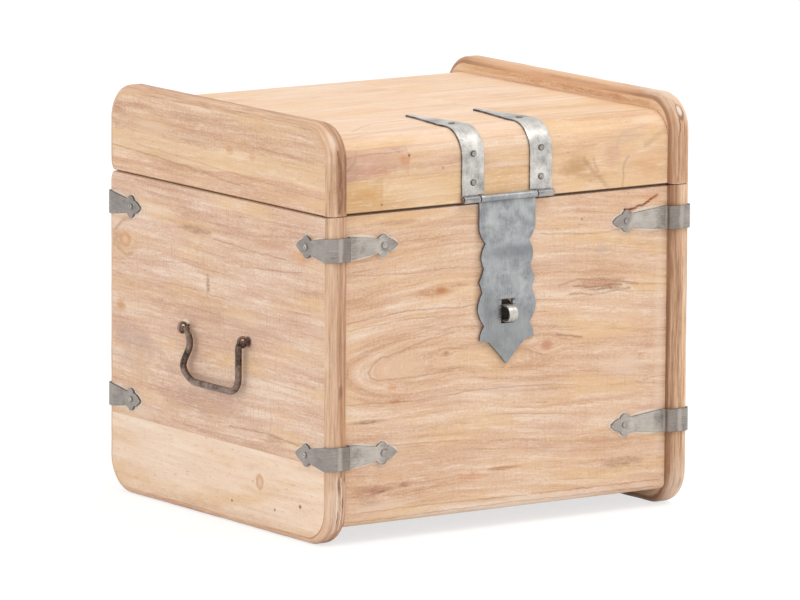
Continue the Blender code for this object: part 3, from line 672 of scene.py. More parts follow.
def trace(tree, at, points, half):
    """1 on a thin line through the points, fading to its sides, by the distance to its nearest piece."""
    nearest = None
    marks = np.array(points) * MM
    for start, end in zip(marks, marks[1:]):
        run = end - start
        share_run = run / (run @ run)
        away = vector(tree, "SUBTRACT", at, (*start.tolist(), 0.0))
        share = vector(tree, "DOT_PRODUCT", away, (*share_run.tolist(), 0.0)).clipped()
        walked = vector(tree, "SCALE", (*run.tolist(), 0.0), share)
        off = vector(tree, "LENGTH", vector(tree, "SUBTRACT", away, walked))
        nearest = off if nearest is None else nearest.least(off)
    return nearest.rise(half * MM, half * MM * LINE_CORE)


def block(along, across, place):
    """1 inside a rectangle of the board, where another short length of wood was jointed in."""
    x0, x1, y0, y1 = (MM * size for size in place[:4])
    return (along.above(x0) - along.above(x1)) * (across.above(y0) - across.above(y1))


print("a spot fades over the outer", 1 - SPOT_FALL, "of its reach")

# %% Coats of marks
SOLID_STAIN = 0.79
KNOT_CORE = 0.6
JOINT_HALF, JOINT_CORE = 0.6 * MM, 0.1 * MM


def by_tone(parts, item):
    """The parts of a list, gathered by their colour, so that one mask serves all parts of a colour."""
    groups = {}
    for part in parts:
        groups.setdefault(part[item], []).append(part)
    return groups.items()


def strongest(masks):
    """The largest of several fields at each point."""
    most = masks[0]
    for mask in masks[1:]:
        most = most.most(mask)
    return most


def stain_and_shade_coats(tree, at, ragged, grainy, stains_and_shade):
    """Stain marks and the painted shade and highlight among them. A weak one is broken up by the grain,
    and a strong one covers it.
    """
    for tone, group in by_tone(stains_and_shade, 5):
        mask = strongest([spot(tree, at, stain_and_shade, ragged) * stain_and_shade[4] for stain_and_shade in group])
        yield mask if group[0][4] > SOLID_STAIN else mask * grainy, tone


def line_coats(tree, at, broken, lines):
    """Cracks, ring lines, scuffs and a painted shade line, broken up along their length."""
    for tone, group in by_tone(lines, 3):
        mask = strongest([trace(tree, at, points, half) * amount for points, half, amount, _ in group])
        yield mask * broken, tone


def knot_coats(tree, at, wash, knots):
    """Each knot: an outer ring of one colour and a heart of another."""
    for knot in knots:
        inside = spot(tree, at, knot, wash * 0.9)
        core = spot(tree, at, knot[:6], wash, KNOT_CORE)
        yield inside * knot[4], knot[5]
        yield core * knot[4], knot[7] if len(knot) > 7 else UMBER


def joint_coats(board, sway, planks, glue):
    """The glue line at the lower edge of every plank but the lowest."""
    for plank in planks[1:]:
        joint = (board.across - plank[0] * MM + sway * 0.1).size().rise(JOINT_HALF, JOINT_CORE)
        joint = joint if len(plank) < 6 else joint * (1.0 - board.along.above(plank[5] * MM))
        yield joint * glue, UMBER


print("a glue line is", round(2 * JOINT_HALF / MM, 1), "mm wide")


# %% [markdown]
# ## Rims
#
# On the rounded rim of a side board the streaks run round the board, and years of hands, grime and wax
# have striped them. Its darkening towards the panel is partly stain and partly painted shade. The rim
# lies far along the grain map, so the map's first number tells it from a face.

# %% Rim finish
RIM_SHADE_FROM, RIM_SHADE_TO = 5.0 * MM, 25.0 * MM
# Place, width and core of the painted shade line where the rim meets the panel.
RIM_SHADE_LINE, SHADE_LINE_HALF, SHADE_LINE_CORE = 29.5 * MM, 2.8 * MM, 0.4 * MM
RIM_STRIPE, STRIPE_HALF, STRIPE_CORE = 14.5 * MM, 1.6 * MM, 0.2 * MM
RIM_SWAY = 0.005
RIM_COVER = 0.94


def rim_paint(along, across, seed, tones):
    """The rounded rim of a side board: long worn streaks, pale by the outer face, darker by the panel from
    stain and painted shade.
    """
    outer, inner, dark = tones
    rim = SimpleNamespace(along=along, across=across, seed=seed)
    rim.swayed = across + layer(rim, "rim_sway") * RIM_SWAY
    wide, fine = layer(rim, "rim_wide"), layer(rim, "rim_fine")
    patch, dash = layer(rim, "rim_patch"), layer(rim, "rim_dash")
    # Partly stain and partly painted shade: the rim darkens from the outer face towards the panel.
    turned = across.rise(RIM_SHADE_FROM, RIM_SHADE_TO)
    colour = blended((turned * 0.6 + 0.2 + wide * 2.4 + fine * 1.5).clipped(), outer, inner)
    colour = blended((patch * 2.2 - wide * 1.6 - turned * 0.3).rise(0.05, 0.75) * 0.6, colour, CHALK)
    colour = blended((fine * 1.5 + wide * 1.1 + dash * 0.9).rise(0.2, 0.5) * 0.7, colour, UMBER)
    # Painted shade: a dark line on the inner rounding, where the rim meets the panel and lies in shadow.
    panel_shade_line = (across - RIM_SHADE_LINE).size().rise(SHADE_LINE_HALF, SHADE_LINE_CORE)
    stripe = (rim.swayed - RIM_STRIPE).size().rise(STRIPE_HALF, STRIPE_CORE) * (patch * 3.2 + dash * 1.5)
    return blended(panel_shade_line.most(stripe).clipped() * 0.7, colour, dark)


# The line printed here is painted shade by the panel, not cut into the wood.
print("a rim has a groove", round(RIM_SHADE_LINE / MM, 1), "mm from the outer face, along the curve")


# %% [markdown]
# ## A board's whole finish
#
# The finish is laid on as a painter would: ground, grain, wear, rim, stain marks with a little painted
# shade and highlight among them, lines, knots, glue lines and last a painted shade in the gap of the seam.
# The same fibres that colour the wood also lift its surface by a tenth of a millimetre and change its
# gloss, so that the three agree.

# %% Board finish
FIBRE_RELIEF, HAIR_RELIEF, BAND_RELIEF = 0.00014, 0.00005, 0.0001
# Width, core and strength of the painted shade along the seam.
SEAM_SHADE_HALF, SEAM_SHADE_CORE = 1.5 * MM, 0.6 * MM
SEAM_SHADE_COVER = 0.85
RAGGED = 1.6
STAIN_CREEP, STAIN_CREEP_ACROSS = 0.006, 0.0016
LINE_SWAY, LINE_CREEP = 0.005, 0.0006
WOOD_DULL = 0.56
WOOD_SPECULAR = 0.32


def wood(name, seed, planks, arch=None, knots=(), stains_and_shade=(), lines=(), blocks=(), chalk=0.7, rough=0.3,
         saw=0.25, glue=0.2, fuzzy=0.0, seam_at=None, rim_tones=RIM_TONES):
    """A board's finish. Places and sizes are in millimetres on its grain map.

    planks: (from, light, middle, dark, figure) and where it ends, from the lowest plank up; knots: (x,
    y, half width, half height, amount, colour, fall, heart); stains: (x, y, half width, half height,
    amount, colour, fall), a few of them painted shade and highlight; lines: (points, half width, amount,
    colour), painted shade among them; blocks: (from x, to x, from y, to y, amount, colour). arch holds
    the seven numbers of arch_level, in metres.
    """
    material, tree, shader, along, across = new_finish(name)
    rim = along.above(BAND_SHIFT / 2)
    board = growth(along, across, planks, knots, arch, fuzzy, seed)
    for early in EARLY_LAYERS:
        setattr(board, early, layer(board, early))
    fibres, wash = board.fibres, board.wash
    turn = layer(board, "rings") * RING_WANDER + board.level * (1.0 / RING_SPACE)
    late = turn.math("FRACT").power(RING_CRISP)
    lively = (0.05 + layer(board, "lively") * 5.5).clipped() * board.figure
    colour = ground(board, planks, rough)
    colour = coated(colour, ((block(along, across, part) * part[4], part[5]) for part in blocks))
    colour = coated(colour, grain_coats(board, late, lively, chalk))
    scratch = layer(board, "scratch")
    colour = coated(colour, wear_coats(board, scratch, rough, saw))
    colour = blended(rim * RIM_COVER, colour, rim_paint(along, across, seed, rim_tones))
    ragged = wash * RAGGED
    at = joined(tree, along + scratch * STAIN_CREEP, across + fibres * STAIN_CREEP_ACROSS)
    grainy = (0.7 + fibres * 2.4 + scratch * 1.2 + board.grit * 0.8).clipped()
    colour = coated(colour, stain_and_shade_coats(tree, at, ragged, grainy, stains_and_shade))
    sway = layer(board, "sway") * LINE_SWAY
    swayed = joined(tree, along, across + sway + fibres * LINE_CREEP)
    broken = (0.8 + wash * 2.0 + fibres * 1.6).clipped()
    colour = coated(colour, line_coats(tree, swayed, broken, lines))
    colour = coated(colour, knot_coats(tree, at, wash, knots))
    colour = coated(colour, joint_coats(board, sway, planks, glue))
    if seam_at is not None:
        # Painted shade: a dark band on both boards along the seam, where the gap between base and lid lies
        # in shadow.
        seam_shade = (across - seam_at).size().rise(SEAM_SHADE_HALF, SEAM_SHADE_CORE) * (1.0 - rim)
        colour = blended(seam_shade * SEAM_SHADE_COVER, colour, DEEP_BROWN)
    set_relief(tree, shader, fibres * FIBRE_RELIEF + board.hairs * HAIR_RELIEF + board.bands * BAND_RELIEF)
    tree.links.new(colour, shader.inputs["Base Color"])
    dull = WOOD_DULL + wash * 0.25 + fibres * 0.2
    tree.links.new(dull.socket, shader.inputs["Roughness"])
    shader.inputs["Specular IOR Level"].default_value = WOOD_SPECULAR
    return material


def tell(finish):
    """Prints how many nodes a finish took."""
    print(finish.name, "has", len(finish.node_tree.nodes), "nodes")


print("fibres stand", round(FIBRE_RELIEF / MM, 2), "mm high")


# %% [markdown]
# Each board is then described as a joiner would mark it: its planks, its knots, its stains and the
# few lines that the eye finds first. A base board is measured from the middle of the chest and from the
# floor; on the lid the second number follows the surface up the front and back over the top.

# %% Places for marks
HALO_ELLIPSES = ((9.0, 11.0, 7.8), (16.5, 9.6, 13.6), (50.0, 36.0, 13.4))
HALO_COVER = 0.85
HALO_FALL = 0.86
staple_z = (low("staple", 2) + high("staple", 2)) / 2 / MM
eye_z = (low("eye_left_back", 2) + high("eye_left_back", 2)) / 2 / MM


def halos(names, axis):
    """The pale line that the wax left round the arms of brackets.

    Each arm gets three ellipses, (distance of the middle from the tip, half width, half height): behind
    the tip, behind the lobes and behind the arm.
    """
    rings = []
    for name in names:
        far = abs(high(name, axis)) > abs(low(name, axis))
        tip, way = (low(name, axis), 1) if far else (high(name, axis), -1)
        z = (low(name, 2) + high(name, 2)) / 2 / MM
        for back, wide, tall in HALO_ELLIPSES:
            rings.append((tip / MM + way * back, z, wide, tall, HALO_COVER, HALO, HALO_FALL))
    return tuple(rings)


def on_rim(z):
    """A height on a base board's front rim, as a place along its map, in millimetres."""
    return (BAND_SHIFT + base_top) / MM - z


def lid_rim(up):
    """A distance up from the seam on a lid board's front rim, as a place along its map."""
    return BAND_SHIFT / MM + up


LEVELS = ("upper", "lower")
SIDES = (("left", -1), ("right", 1))
front_brackets = [f"bracket_front_{word}_{level}" for word in ("left", "right") for level in LEVELS]
left_brackets = [f"bracket_{end}_left_{level}" for end in ("front", "back") for level in LEVELS]
print("brackets with a halo:", len(front_brackets) + len(left_brackets))

# %% Front board
front_wood = wood(
    "front_board_wood",
    1.3,
    planks=((-100, CREAM, PEACH, TAN, 0.85),),
    arch=(-0.1677, 0.172, 0.04, 0.08, 0.0199, 0.252, 0.008),
    knots=(
        (-81, 246, 13, 6.5, 0.6, paint(206, 142, 92), 0.25, paint(182, 122, 84)),
        (48, 180, 11, 8, 0.7, paint(198, 132, 104), 0.25, paint(206, 150, 122)),
        (-75, 182.5, 6, 4, 0.5, paint(184, 136, 106), 0.25, paint(170, 122, 94)),
        (90, 303, 1.8, 1.6, 0.8, paint(120, 84, 62)),
    ),
    stains_and_shade=(
        (-92, 244, 30, 6, 0.7, paint(196, 142, 104)),
        (-60, 249, 16, 3, 0.5, BARK),
        (-30, 312, 130, 5, 0.35, ROSE),
        (-140, 318, 50, 3.5, 0.6, BARK),
        (-120, 325, 85, 5, 0.7, paint(230, 184, 136)),
        (112, 236, 46, 8, 0.78, paint(182, 126, 92)),
        (124, 231, 28, 4, 0.78, paint(150, 104, 78)),
        (-20, 232, 60, 12, 0.35, ROSE),
        (150, 200, 50, 10, 0.3, HONEY),
        (174, 319, 18, 7, 0.6, paint(222, 154, 108)),
        (-120, 290, 60, 12, 0.35, HONEY),
        (60, 60, 60, 12, 0.35, HONEY),
        (140, 51, 36, 7, 0.55, paint(150, 110, 88)),
        (-165, 40, 22, 5, 0.6, paint(170, 128, 104)),
        (-150, 90, 40, 20, 0.3, CHALK),
        (-156, 52, 22, 6, 0.75, paint(170, 124, 100)),
        (-150, 51, 8, 2, 0.78, UMBER),
        (116, 270, 12, 9, 0.4, GREY_STAIN),
        (-150, 36, 50, 8, 0.4, CHALK),
        # Painted highlight: a pale band along the board's rounded foot.
        (0, 22, 220, 9, 0.85, CHALK),
        (187, 170, 8, 170, 0.3, CHALK),
        (60, 100, 70, 12, 0.3, ROSE),
        (-100, 110, 90, 5, 0.5, paint(196, 148, 118)),
        (-138, 154, 10, 8, 0.7, paint(222, 152, 112)),
        (-136, 139, 11, 2.6, 0.78, paint(190, 116, 82)),
        (-170, 122, 30, 3, 0.7, UMBER),
        (-124, 55, 9, 4, 0.75, paint(150, 112, 90)),
        (-45, 55, 24, 7, 0.7, paint(216, 150, 104)),
        (-170, 50, 22, 10, 0.6, paint(176, 128, 104)),
        (-8, 60, 32, 2.6, 0.7, paint(168, 112, 80)),
        (100, 118, 90, 4, 0.5, paint(200, 146, 116)),
        (-20, 140, 90, 8, 0.35, CHALK),
        (-134, 172, 56, 19, 0.78, paint(229, 191, 158)),
        (-100, 78, 120, 26, 0.4, paint(206, 162, 134)),
        (150, 150, 40, 14, 0.35, CHALK),
        # Painted shade: a near-black spot on the board behind the hasp's slot and the staple.
        (fitting_x / MM, staple_z, 9, 16, 1.0, paint(30, 24, 22), 0.9),
        *halos(front_brackets, 0),
    ),
    lines=(
        # Painted shade: a brown band along the hasp's left edge, where its contact shadow falls.
        (((-36, 322), (-38, 270), (-37, 215), (-30, 202), (-4, 178)), 6.0, 0.2, paint(150, 112, 88)),
        (((-66, 202), (-95, 198.4), (-129, 189.4), (-151.7, 184), (-163, 178), (-168, 171.5), (-165, 166),
          (-156, 162), (-108, 162), (-66, 164)), 1.6, 0.5, BARK),
        (((-197, 31), (-100, 32), (0, 30), (190, 29)), 1.2, 0.55, BARK),
        (((-197, 23), (0, 24), (190, 22)), 1.0, 0.5, BARK),
        (((-194, 222), (-120, 229), (-53, 226.7), (20, 232)), 1.3, 0.55, BARK),
        (((-194, 215), (-120, 221), (-53, 218.7)), 1.2, 0.45, BARK),
        (((62, 238), (84, 242), (112, 241), (144, 235), (160, 232)), 2.0, 0.45, UMBER),
        (((80, 236), (100, 233), (124, 235), (140, 232)), 1.9, 0.5, UMBER),
        (((76, 229), (104, 226), (128, 227), (150, 229)), 1.9, 0.45, UMBER),
        (((142.5, 308.8), (149, 308.2), (156, 309.4)), 2.2, 1.0, RUST),
        (((158, 310.4), (168, 313), (183, 320)), 2.4, 1.0, RUST),
        (((60, 189), (75, 187), (91, 183)), 1.8, 0.65, UMBER),
        (((-194, 141), (-120, 138), (-40, 142), (60, 140)), 1.1, 0.45, BARK),
        (((-194, 92), (-140, 96), (-60, 93)), 1.4, 0.4, BARK),
        (((40, 292), (110, 288), (190, 290)), 1.4, 0.35, BARK),
        (((-60, 268), (-120, 266), (-194, 270)), 1.3, 0.4, BARK),
    ),
    rough=0.42,
    seam_at=base_top,
)
tell(front_wood)

# %% Left side of the base
left_wood = wood(
    "left_side_wood",
    2.6,
    planks=((-100, paint(250, 227, 204), paint(245, 217, 191), paint(235, 202, 175), 0.15),
            (81, paint(240, 214, 192), paint(226, 190, 164), paint(204, 160, 134), 0.7)),
    knots=(
        (-75.7, 49.5, 8, 10, 0.6, paint(206, 152, 106), 0.7, paint(238, 212, 188)),
        (-25.7, 23, 2.4, 2.0, 0.8, paint(140, 104, 80)),
        (-147.7, 35.5, 3.4, 2.8, 0.8, paint(140, 104, 80)),
        (-102.7, 25.5, 2.2, 1.9, 0.7, paint(150, 112, 86)),
        (172, 262, 13, 10, 0.6, paint(206, 150, 108), 0.6, paint(236, 196, 162)),
    ),
    stains_and_shade=(
        (33, 116, 110, 24, 0.6, paint(190, 152, 134)),
        (180, 194, 14, 9, 0.8, paint(205, 152, 98)),
        (19, 234, 5, 18, 0.75, paint(160, 124, 104)),
        (44, 288, 40, 5, 0.78, paint(150, 108, 86)),
        (160, 163, 60, 14, 0.55, paint(186, 158, 152)),
        (60, 283, 70, 12, 0.4, ROSE),
        (30, 200, 130, 40, 0.3, paint(204, 158, 130)),
        (-147, 284, 22, 8, 0.78, paint(220, 158, 106)),
        (-90, 291, 60, 5, 0.55, paint(206, 152, 116)),
        (190, 262, 18, 14, 0.45, BARK),
        (120, 300, 60, 8, 0.4, CHALK),
        (-60, 205, 80, 18, 0.2, CHALK),
        (60, 140, 90, 6, 0.45, paint(180, 142, 120)),
        (-100, 96, 34, 7, 0.55, paint(176, 136, 112)),
        (150, 150, 66, 30, 0.5, paint(194, 160, 146)),
        (150, 80, 50, 20, 0.3, CHALK),
        (0, 10, 200, 8, 0.5, paint(206, 164, 128)),
        (high("eye_left_back", 1) / MM + 4, eye_z, 9, 8, 0.8, HALO, 0.75),
        # A near-black spot on the wood round the front eye.
        (low("eye_left_front", 1) / MM + 2, eye_z, 6.5, 6.5, 0.85, DEEP_BROWN, 0.6),
        *halos(left_brackets, 1),
        (on_rim(62), 17, 13, 2.2, 0.85, UMBER),
        (on_rim(44), 21.5, 10, 1.8, 0.8, UMBER),
        (on_rim(68), 24, 9, 2.0, 0.8, UMBER),
        (on_rim(30), 15.5, 12, 1.8, 0.8, UMBER),
        (on_rim(156), 19, 10, 4, 0.7, UMBER),
        (on_rim(120), 21, 60, 5, 0.5, paint(196, 140, 98)),
        (on_rim(40), 12, 40, 12, 0.4, CHALK),
    ),
    lines=(
        (((160, 285), (178, 280), (190, 270)), 3.0, 0.4, UMBER),
        (((158, 250), (170, 246), (186, 252)), 3.0, 0.4, UMBER),
        (((-40, 262), (-110, 266), (-150, 270)), 1.3, 0.5, BARK),
        (((10, 283), (-60, 280), (-120, 279)), 1.4, 0.5, BARK),
        (((100, 227), (40, 228), (-20, 224)), 1.1, 0.4, BARK),
        (((180, 122), (100, 118), (40, 120)), 1.1, 0.4, BARK),
        (((-20, 98), (-90, 100), (-150, 96)), 1.6, 0.6, BARK),
        (((120, 246), (60, 252), (0, 250)), 1.2, 0.4, BARK),
        (((on_rim(72), 14.5), (on_rim(12), 14.5)), 0.9, 0.9, CHALK),
        (((on_rim(70), 19.5), (on_rim(16), 19.5)), 0.9, 0.9, CHALK),
        (((on_rim(66), 23.5), (on_rim(24), 23.5)), 0.8, 0.8, CHALK),
    ),
    rough=0.85,
    saw=0.55,
    seam_at=base_top,
)
tell(left_wood)

# %% Right side of the base
right_wood = wood(
    "right_side_wood",
    5.1,
    planks=((-100, CREAM, paint(232, 198, 170), PEACH, 0.4), (96, CREAM, PEACH, TAN, 0.7)),
    knots=((60, 210, 7, 6, 0.7, paint(190, 130, 90)),),
    rough=0.4,
    seam_at=base_top,
    stains_and_shade=((on_rim(14), 14, 46, 18, 0.55, CHALK), (on_rim(24), 12, 10, 3, 0.6, BARK)),
    rim_tones=(paint(240, 202, 166), paint(160, 114, 82), RIM_DARK),
)
tell(right_wood)

# %% Left side of the lid
lid_side_wood = wood(
    "lid_side_wood",
    7.9,
    planks=((-100, paint(240, 208, 178), paint(224, 182, 150), paint(204, 156, 126), 0.8),
            (353, paint(242, 212, 178), paint(233, 197, 160), paint(220, 180, 142), 0.4),
            (374, paint(242, 213, 186), paint(226, 187, 155), paint(200, 155, 124), 0.9)),
    stains_and_shade=(
        (40, 392, 110, 10, 0.4, ROSE),
        (60, 400, 90, 6, 0.4, BARK),
        (190, 396, 24, 10, 0.5, BARK),
        (140, 386, 70, 12, 0.5, paint(212, 170, 144)),
        (120, 384, 40, 6, 0.35, CHALK),
        (40, 380, 50, 4, 0.3, CHALK),
        (-60, 382, 70, 8, 0.4, paint(200, 148, 112)),
        (-20, 376, 9, 7, 0.7, paint(206, 146, 104)),
        (-60, 374, 8, 5, 0.6, paint(206, 146, 104)),
        (-80, 366, 60, 5, 0.5, HONEY),
        (60, 348, 80, 5, 0.4, BARK),
        (lid_rim(76), 12, 16, 6, 0.6, CHALK),
        (lid_rim(34), 19, 50, 12, 0.75, paint(150, 106, 76)),
        (lid_rim(300), 18, 160, 8, 0.4, paint(206, 158, 120)),
    ),
    lines=(
        (((212, 357), (120, 354), (60, 350), (-40, 343)), 1.6, 0.5, BARK),
        (((150, 362), (60, 358), (-60, 352), (-150, 350)), 1.4, 0.4, paint(196, 146, 106)),
        (((lid_rim(4), 17), (lid_rim(40), 17.5), (lid_rim(64), 16)), 2.8, 0.85, RIM_DARK),
        (((lid_rim(6), 24), (lid_rim(60), 24)), 2.0, 0.75, RIM_DARK),
    ),
    rough=0.65,
    saw=0.35,
    glue=0.0,
    fuzzy=26.0,
    seam_at=lid_bottom,
    rim_tones=(paint(226, 186, 152), paint(158, 110, 78), paint(136, 92, 66)),
)
tell(lid_side_wood)

# %% Right side of the lid
right_lid_wood = wood(
    "right_lid_side_wood",
    8.3,
    planks=((-100, CREAM, PEACH, TAN, 0.7), (372, paint(242, 212, 178), paint(233, 197, 160), TAN, 0.5)),
    stains_and_shade=(
        (lid_rim(73), 14.5, 11.5, 5.0, 0.85, UMBER, 0.7),
        (lid_rim(75), 14.5, 7.5, 3.0, 0.9, paint(238, 216, 198), 0.6),
        (lid_rim(110), 16, 60, 16, 0.5, CHALK),
        (lid_rim(280), 23, 190, 16, 0.85, paint(226, 180, 140), 0.5),
        (lid_rim(250), 27, 120, 3, 0.6, paint(176, 126, 92)),
        (lid_rim(300), 15, 160, 3, 0.5, CHALK),
        (lid_rim(34), 10, 40, 6, 0.4, paint(206, 152, 112)),
        (INNER_SHIFT / MM + 40, 412, 170, 6, 0.6, paint(196, 140, 100)),
        (INNER_SHIFT / MM - 60, 408, 130, 4, 0.6, paint(176, 120, 88)),
    ),
    lines=(
        (((lid_rim(2), 19), (lid_rim(40), 19.5), (lid_rim(66), 17.5)), 1.6, 0.75, RIM_DARK),
        (((lid_rim(30), 12), (lid_rim(46), 10), (lid_rim(60), 11)), 1.2, 0.6, BARK),
    ),
    rough=0.4,
    seam_at=lid_bottom,
    rim_tones=(paint(238, 200, 166), paint(176, 128, 92), paint(150, 104, 74)),
)
tell(right_lid_wood)

# %% Top and front of the lid
lid_wood = wood(
    "lid_wood",
    9.4,
    planks=(
        (-100, paint(242, 208, 168), paint(231, 192, 150), paint(210, 166, 122), 0.5),
        (363.3, paint(240, 214, 186), paint(230, 194, 162), paint(212, 168, 138), 0.5, 53),
        (394, CREAM, paint(240, 206, 176), paint(228, 186, 152), 0.45, 53),
        (520, CREAM, paint(239, 204, 172), paint(228, 186, 148), 0.45),
        (640, CREAM, paint(237, 202, 170), paint(226, 184, 148), 0.5),
    ),
    blocks=(
        (-200, -120, 363.3, 394, 0.62, paint(204, 158, 136)),
        (-200, -151.3, 300, 363.3, 0.6, paint(216, 170, 112)),
        (53, 200, 300, 520, 0.35, paint(236, 196, 160)),
    ),
    knots=(
        (-119.9, 383.5, 2.2, 2.8, 0.85, paint(130, 88, 66)),
        (-80, 368, 1.8, 1.8, 0.6, paint(170, 130, 104)),
        (-153, 337, 1.9, 1.9, 0.7, paint(160, 120, 92)),
    ),
    stains_and_shade=(
        (-190, 372, 16, 16, 0.6, paint(182, 146, 118)),
        (-160, 370, 30, 8, 0.55, paint(198, 132, 112)),
        (-126, 380, 8, 9, 0.7, paint(206, 140, 94)),
        (-172, 346, 22, 9, 0.5, paint(206, 150, 86)),
        (-100, 345, 40, 12, 0.25, CHALK),
        (-110, 372, 90, 5, 0.45, paint(204, 156, 128)),
        (82, 356, 26, 15, 0.8, paint(198, 154, 108)),
        (104, 345, 18, 11, 0.5, paint(186, 142, 104)),
        (150, 383, 28, 8, 0.3, GREY_STAIN),
        (126, 365, 16, 18, 0.6, ROSE),
        (168, 350, 22, 14, 0.6, paint(222, 172, 124)),
        (0, 350, 34, 16, 0.4, paint(214, 160, 104)),
        (-120, 425, 80, 6, 0.35, GREY_STAIN),
        (100, 440, 70, 10, 0.15, GREY_STAIN),
        (-60, 560, 90, 26, 0.3, paint(232, 180, 140)),
        (90, 520, 60, 20, 0.3, CHALK),
        (176, 400, 30, 8, 0.4, CHALK),
        (160, 408, 40, 5, 0.4, ROSE),
        (150, 430, 60, 5, 0.4, CHALK),
        (184, 362, 18, 14, 0.4, paint(222, 170, 124)),
    ),
    lines=(
        (((91.8, 364), (101, 352.5), (112, 343), (123, 332)), 4.0, 0.3, UMBER),
        (((104, 363), (105.3, 356.6), (109.3, 351)), 3.0, 0.35, BARK),
        (((147, 362), (142, 356), (140.2, 349.4), (141.2, 342.7), (139.4, 332)), 2.2, 0.4,
         paint(150, 126, 110)),
        (((170.7, 392), (154.5, 390), (141, 386.7), (133.8, 378.5), (131.9, 371)), 3.0, 0.3, GREY_STAIN),
        (((192.4, 384), (181.6, 379), (168, 372)), 5.0, 0.3, paint(160, 116, 86)),
        (((78.7, 424.4), (114, 425.3), (157, 421.6), (172, 416)), 1.7, 0.45, BARK),
        (((60, 470), (110, 474), (180, 470)), 1.6, 0.35, paint(196, 140, 110)),
        (((-154, 442), (-124, 468), (-97, 483), (-64, 483)), 2.2, 0.5, paint(190, 150, 130)),
        (((-172.6, 412.5), (-142.9, 421), (-111.6, 429), (-69.8, 437)), 2.0, 0.5, paint(186, 142, 124)),
        (((-195, 386), (-170, 388), (-130, 388)), 1.2, 0.5, BARK),
        (((-196, 372), (-186, 380), (-180, 392)), 1.6, 0.4, BARK),
    ),
    rough=0.34,
    seam_at=lid_bottom,
)
tell(lid_wood)

# %% Back and floor
back_wood = wood(
    "back_board_wood",
    14.5,
    planks=((-100, CREAM, PEACH, TAN, 0.8), (150, CREAM, PEACH, TAN, 0.8)),
    knots=((70, 90, 9, 7, 0.7, paint(190, 130, 90)),),
    seam_at=base_top,
)
floor_wood = wood(
    "floor_board_wood",
    17.0,
    planks=((-500, CREAM, PEACH, TAN, 0.7), (-60, CREAM, PEACH, TAN, 0.7), (70, CREAM, PEACH, TAN, 0.7)),
)
print("wood finishes:", len(bpy.data.materials))

# %% [markdown]
# ## The iron
#
# The sheet iron is galvanised and has dulled: a light grey with cloudy patches, brushed along its
# length, with painted shade and a painted highlight at its bends, and small pits. A plain grey metal would
# look like plastic, because it is the change of roughness from patch to patch that reads as zinc.

# %% Iron finish
CLOUD_SCALE, PATCH_SCALE, SPECK_SCALE = 95.0, 38.0, 600.0
DASH_TONE = paint(86, 84, 84)
PIT_TONE = paint(70, 68, 66)
# Tone of the edge mark: rust and painted shade.
EDGE_AND_SHADE_TONE = paint(84, 74, 66)
CLOUD_RELIEF, BRUSH_RELIEF, PIT_RELIEF = 0.00016, 0.00003, 0.00006


def iron(name, seed, light, dark, metal=0.8, roughness=0.42, brushed=1.0, blotch=1.0, smudges_and_shade=()):
    """A dulled metal: clouds of two greys, brushing along the piece, dark dashes, pits, and patches of
    tone, among them painted shade and highlight.

    smudges_and_shade: (x, y, half width, half height, amount, colour), in millimetres on the piece's own
    map.
    """
    material, tree, shader, along, across = new_finish(name)
    place = tree.nodes.new("ShaderNodeTexCoord")
    split = tree.nodes.new("ShaderNodeSeparateXYZ")
    tree.links.new(place.outputs["Object"], split.inputs[0])
    x, y, z = (Field(tree, split.outputs[i]) for i in range(3))
    cloud = clouds(x * CLOUD_SCALE, y * CLOUD_SCALE, seed, 4.0, 0.65, z * CLOUD_SCALE)
    patch = clouds(x * PATCH_SCALE, y * PATCH_SCALE, seed + 1.0, 2.0, 0.5, z * PATCH_SCALE)
    piece = SimpleNamespace(along=along, across=across, seed=seed)
    brush = layer(piece, "brush")
    speck = clouds(x * SPECK_SCALE, y * SPECK_SCALE, seed + 3.0, 2.0, 0.6, z * SPECK_SCALE)
    dash = layer(piece, "dash")
    mottle = (cloud * 1.4 + patch) * blotch
    share = (0.45 + mottle + brush * 1.1 * brushed + speck * 0.5).clipped()
    colour = blended(share, light, dark)
    at = joined(tree, along, across)
    for tone, group in by_tone(smudges_and_shade, 5):
        mask = strongest([spot(tree, at, smudge_and_shade, cloud * 1.6) * smudge_and_shade[4] for smudge_and_shade in group])
        colour = blended(mask, colour, tone)
    colour = blended(dash.rise(0.10, 0.3) * 0.35 * min(brushed, 1.0), colour, DASH_TONE)
    pits = speck.rise(0.2, 0.34)
    colour = blended(pits * 0.5, colour, PIT_TONE)
    # Rust and painted shade: the edge mark darkens the cut edges of sheet, the staple's shaded face and a
    # ring round each screw head.
    worn = tree.nodes.new("ShaderNodeAttribute")
    worn.attribute_name = "edge"
    edge = Field(tree, worn.outputs["Fac"])
    colour = blended(edge.rise(0.3, 0.9) * (0.75 + cloud * 1.5).clipped(), colour, EDGE_AND_SHADE_TONE)
    tree.links.new(colour, shader.inputs["Base Color"])
    rough = (roughness + cloud * 0.3 + patch * 0.2 + brush * 0.12 + pits * 0.2 + edge * 0.2).clipped()
    tree.links.new(rough.socket, shader.inputs["Roughness"])
    shader.inputs["Metallic"].default_value = metal
    relief = cloud * CLOUD_RELIEF + brush * BRUSH_RELIEF * brushed - pits * PIT_RELIEF
    set_relief(tree, shader, relief)
    return material


print("clouds of zinc are about", round(1 / CLOUD_SCALE / MM), "mm wide")

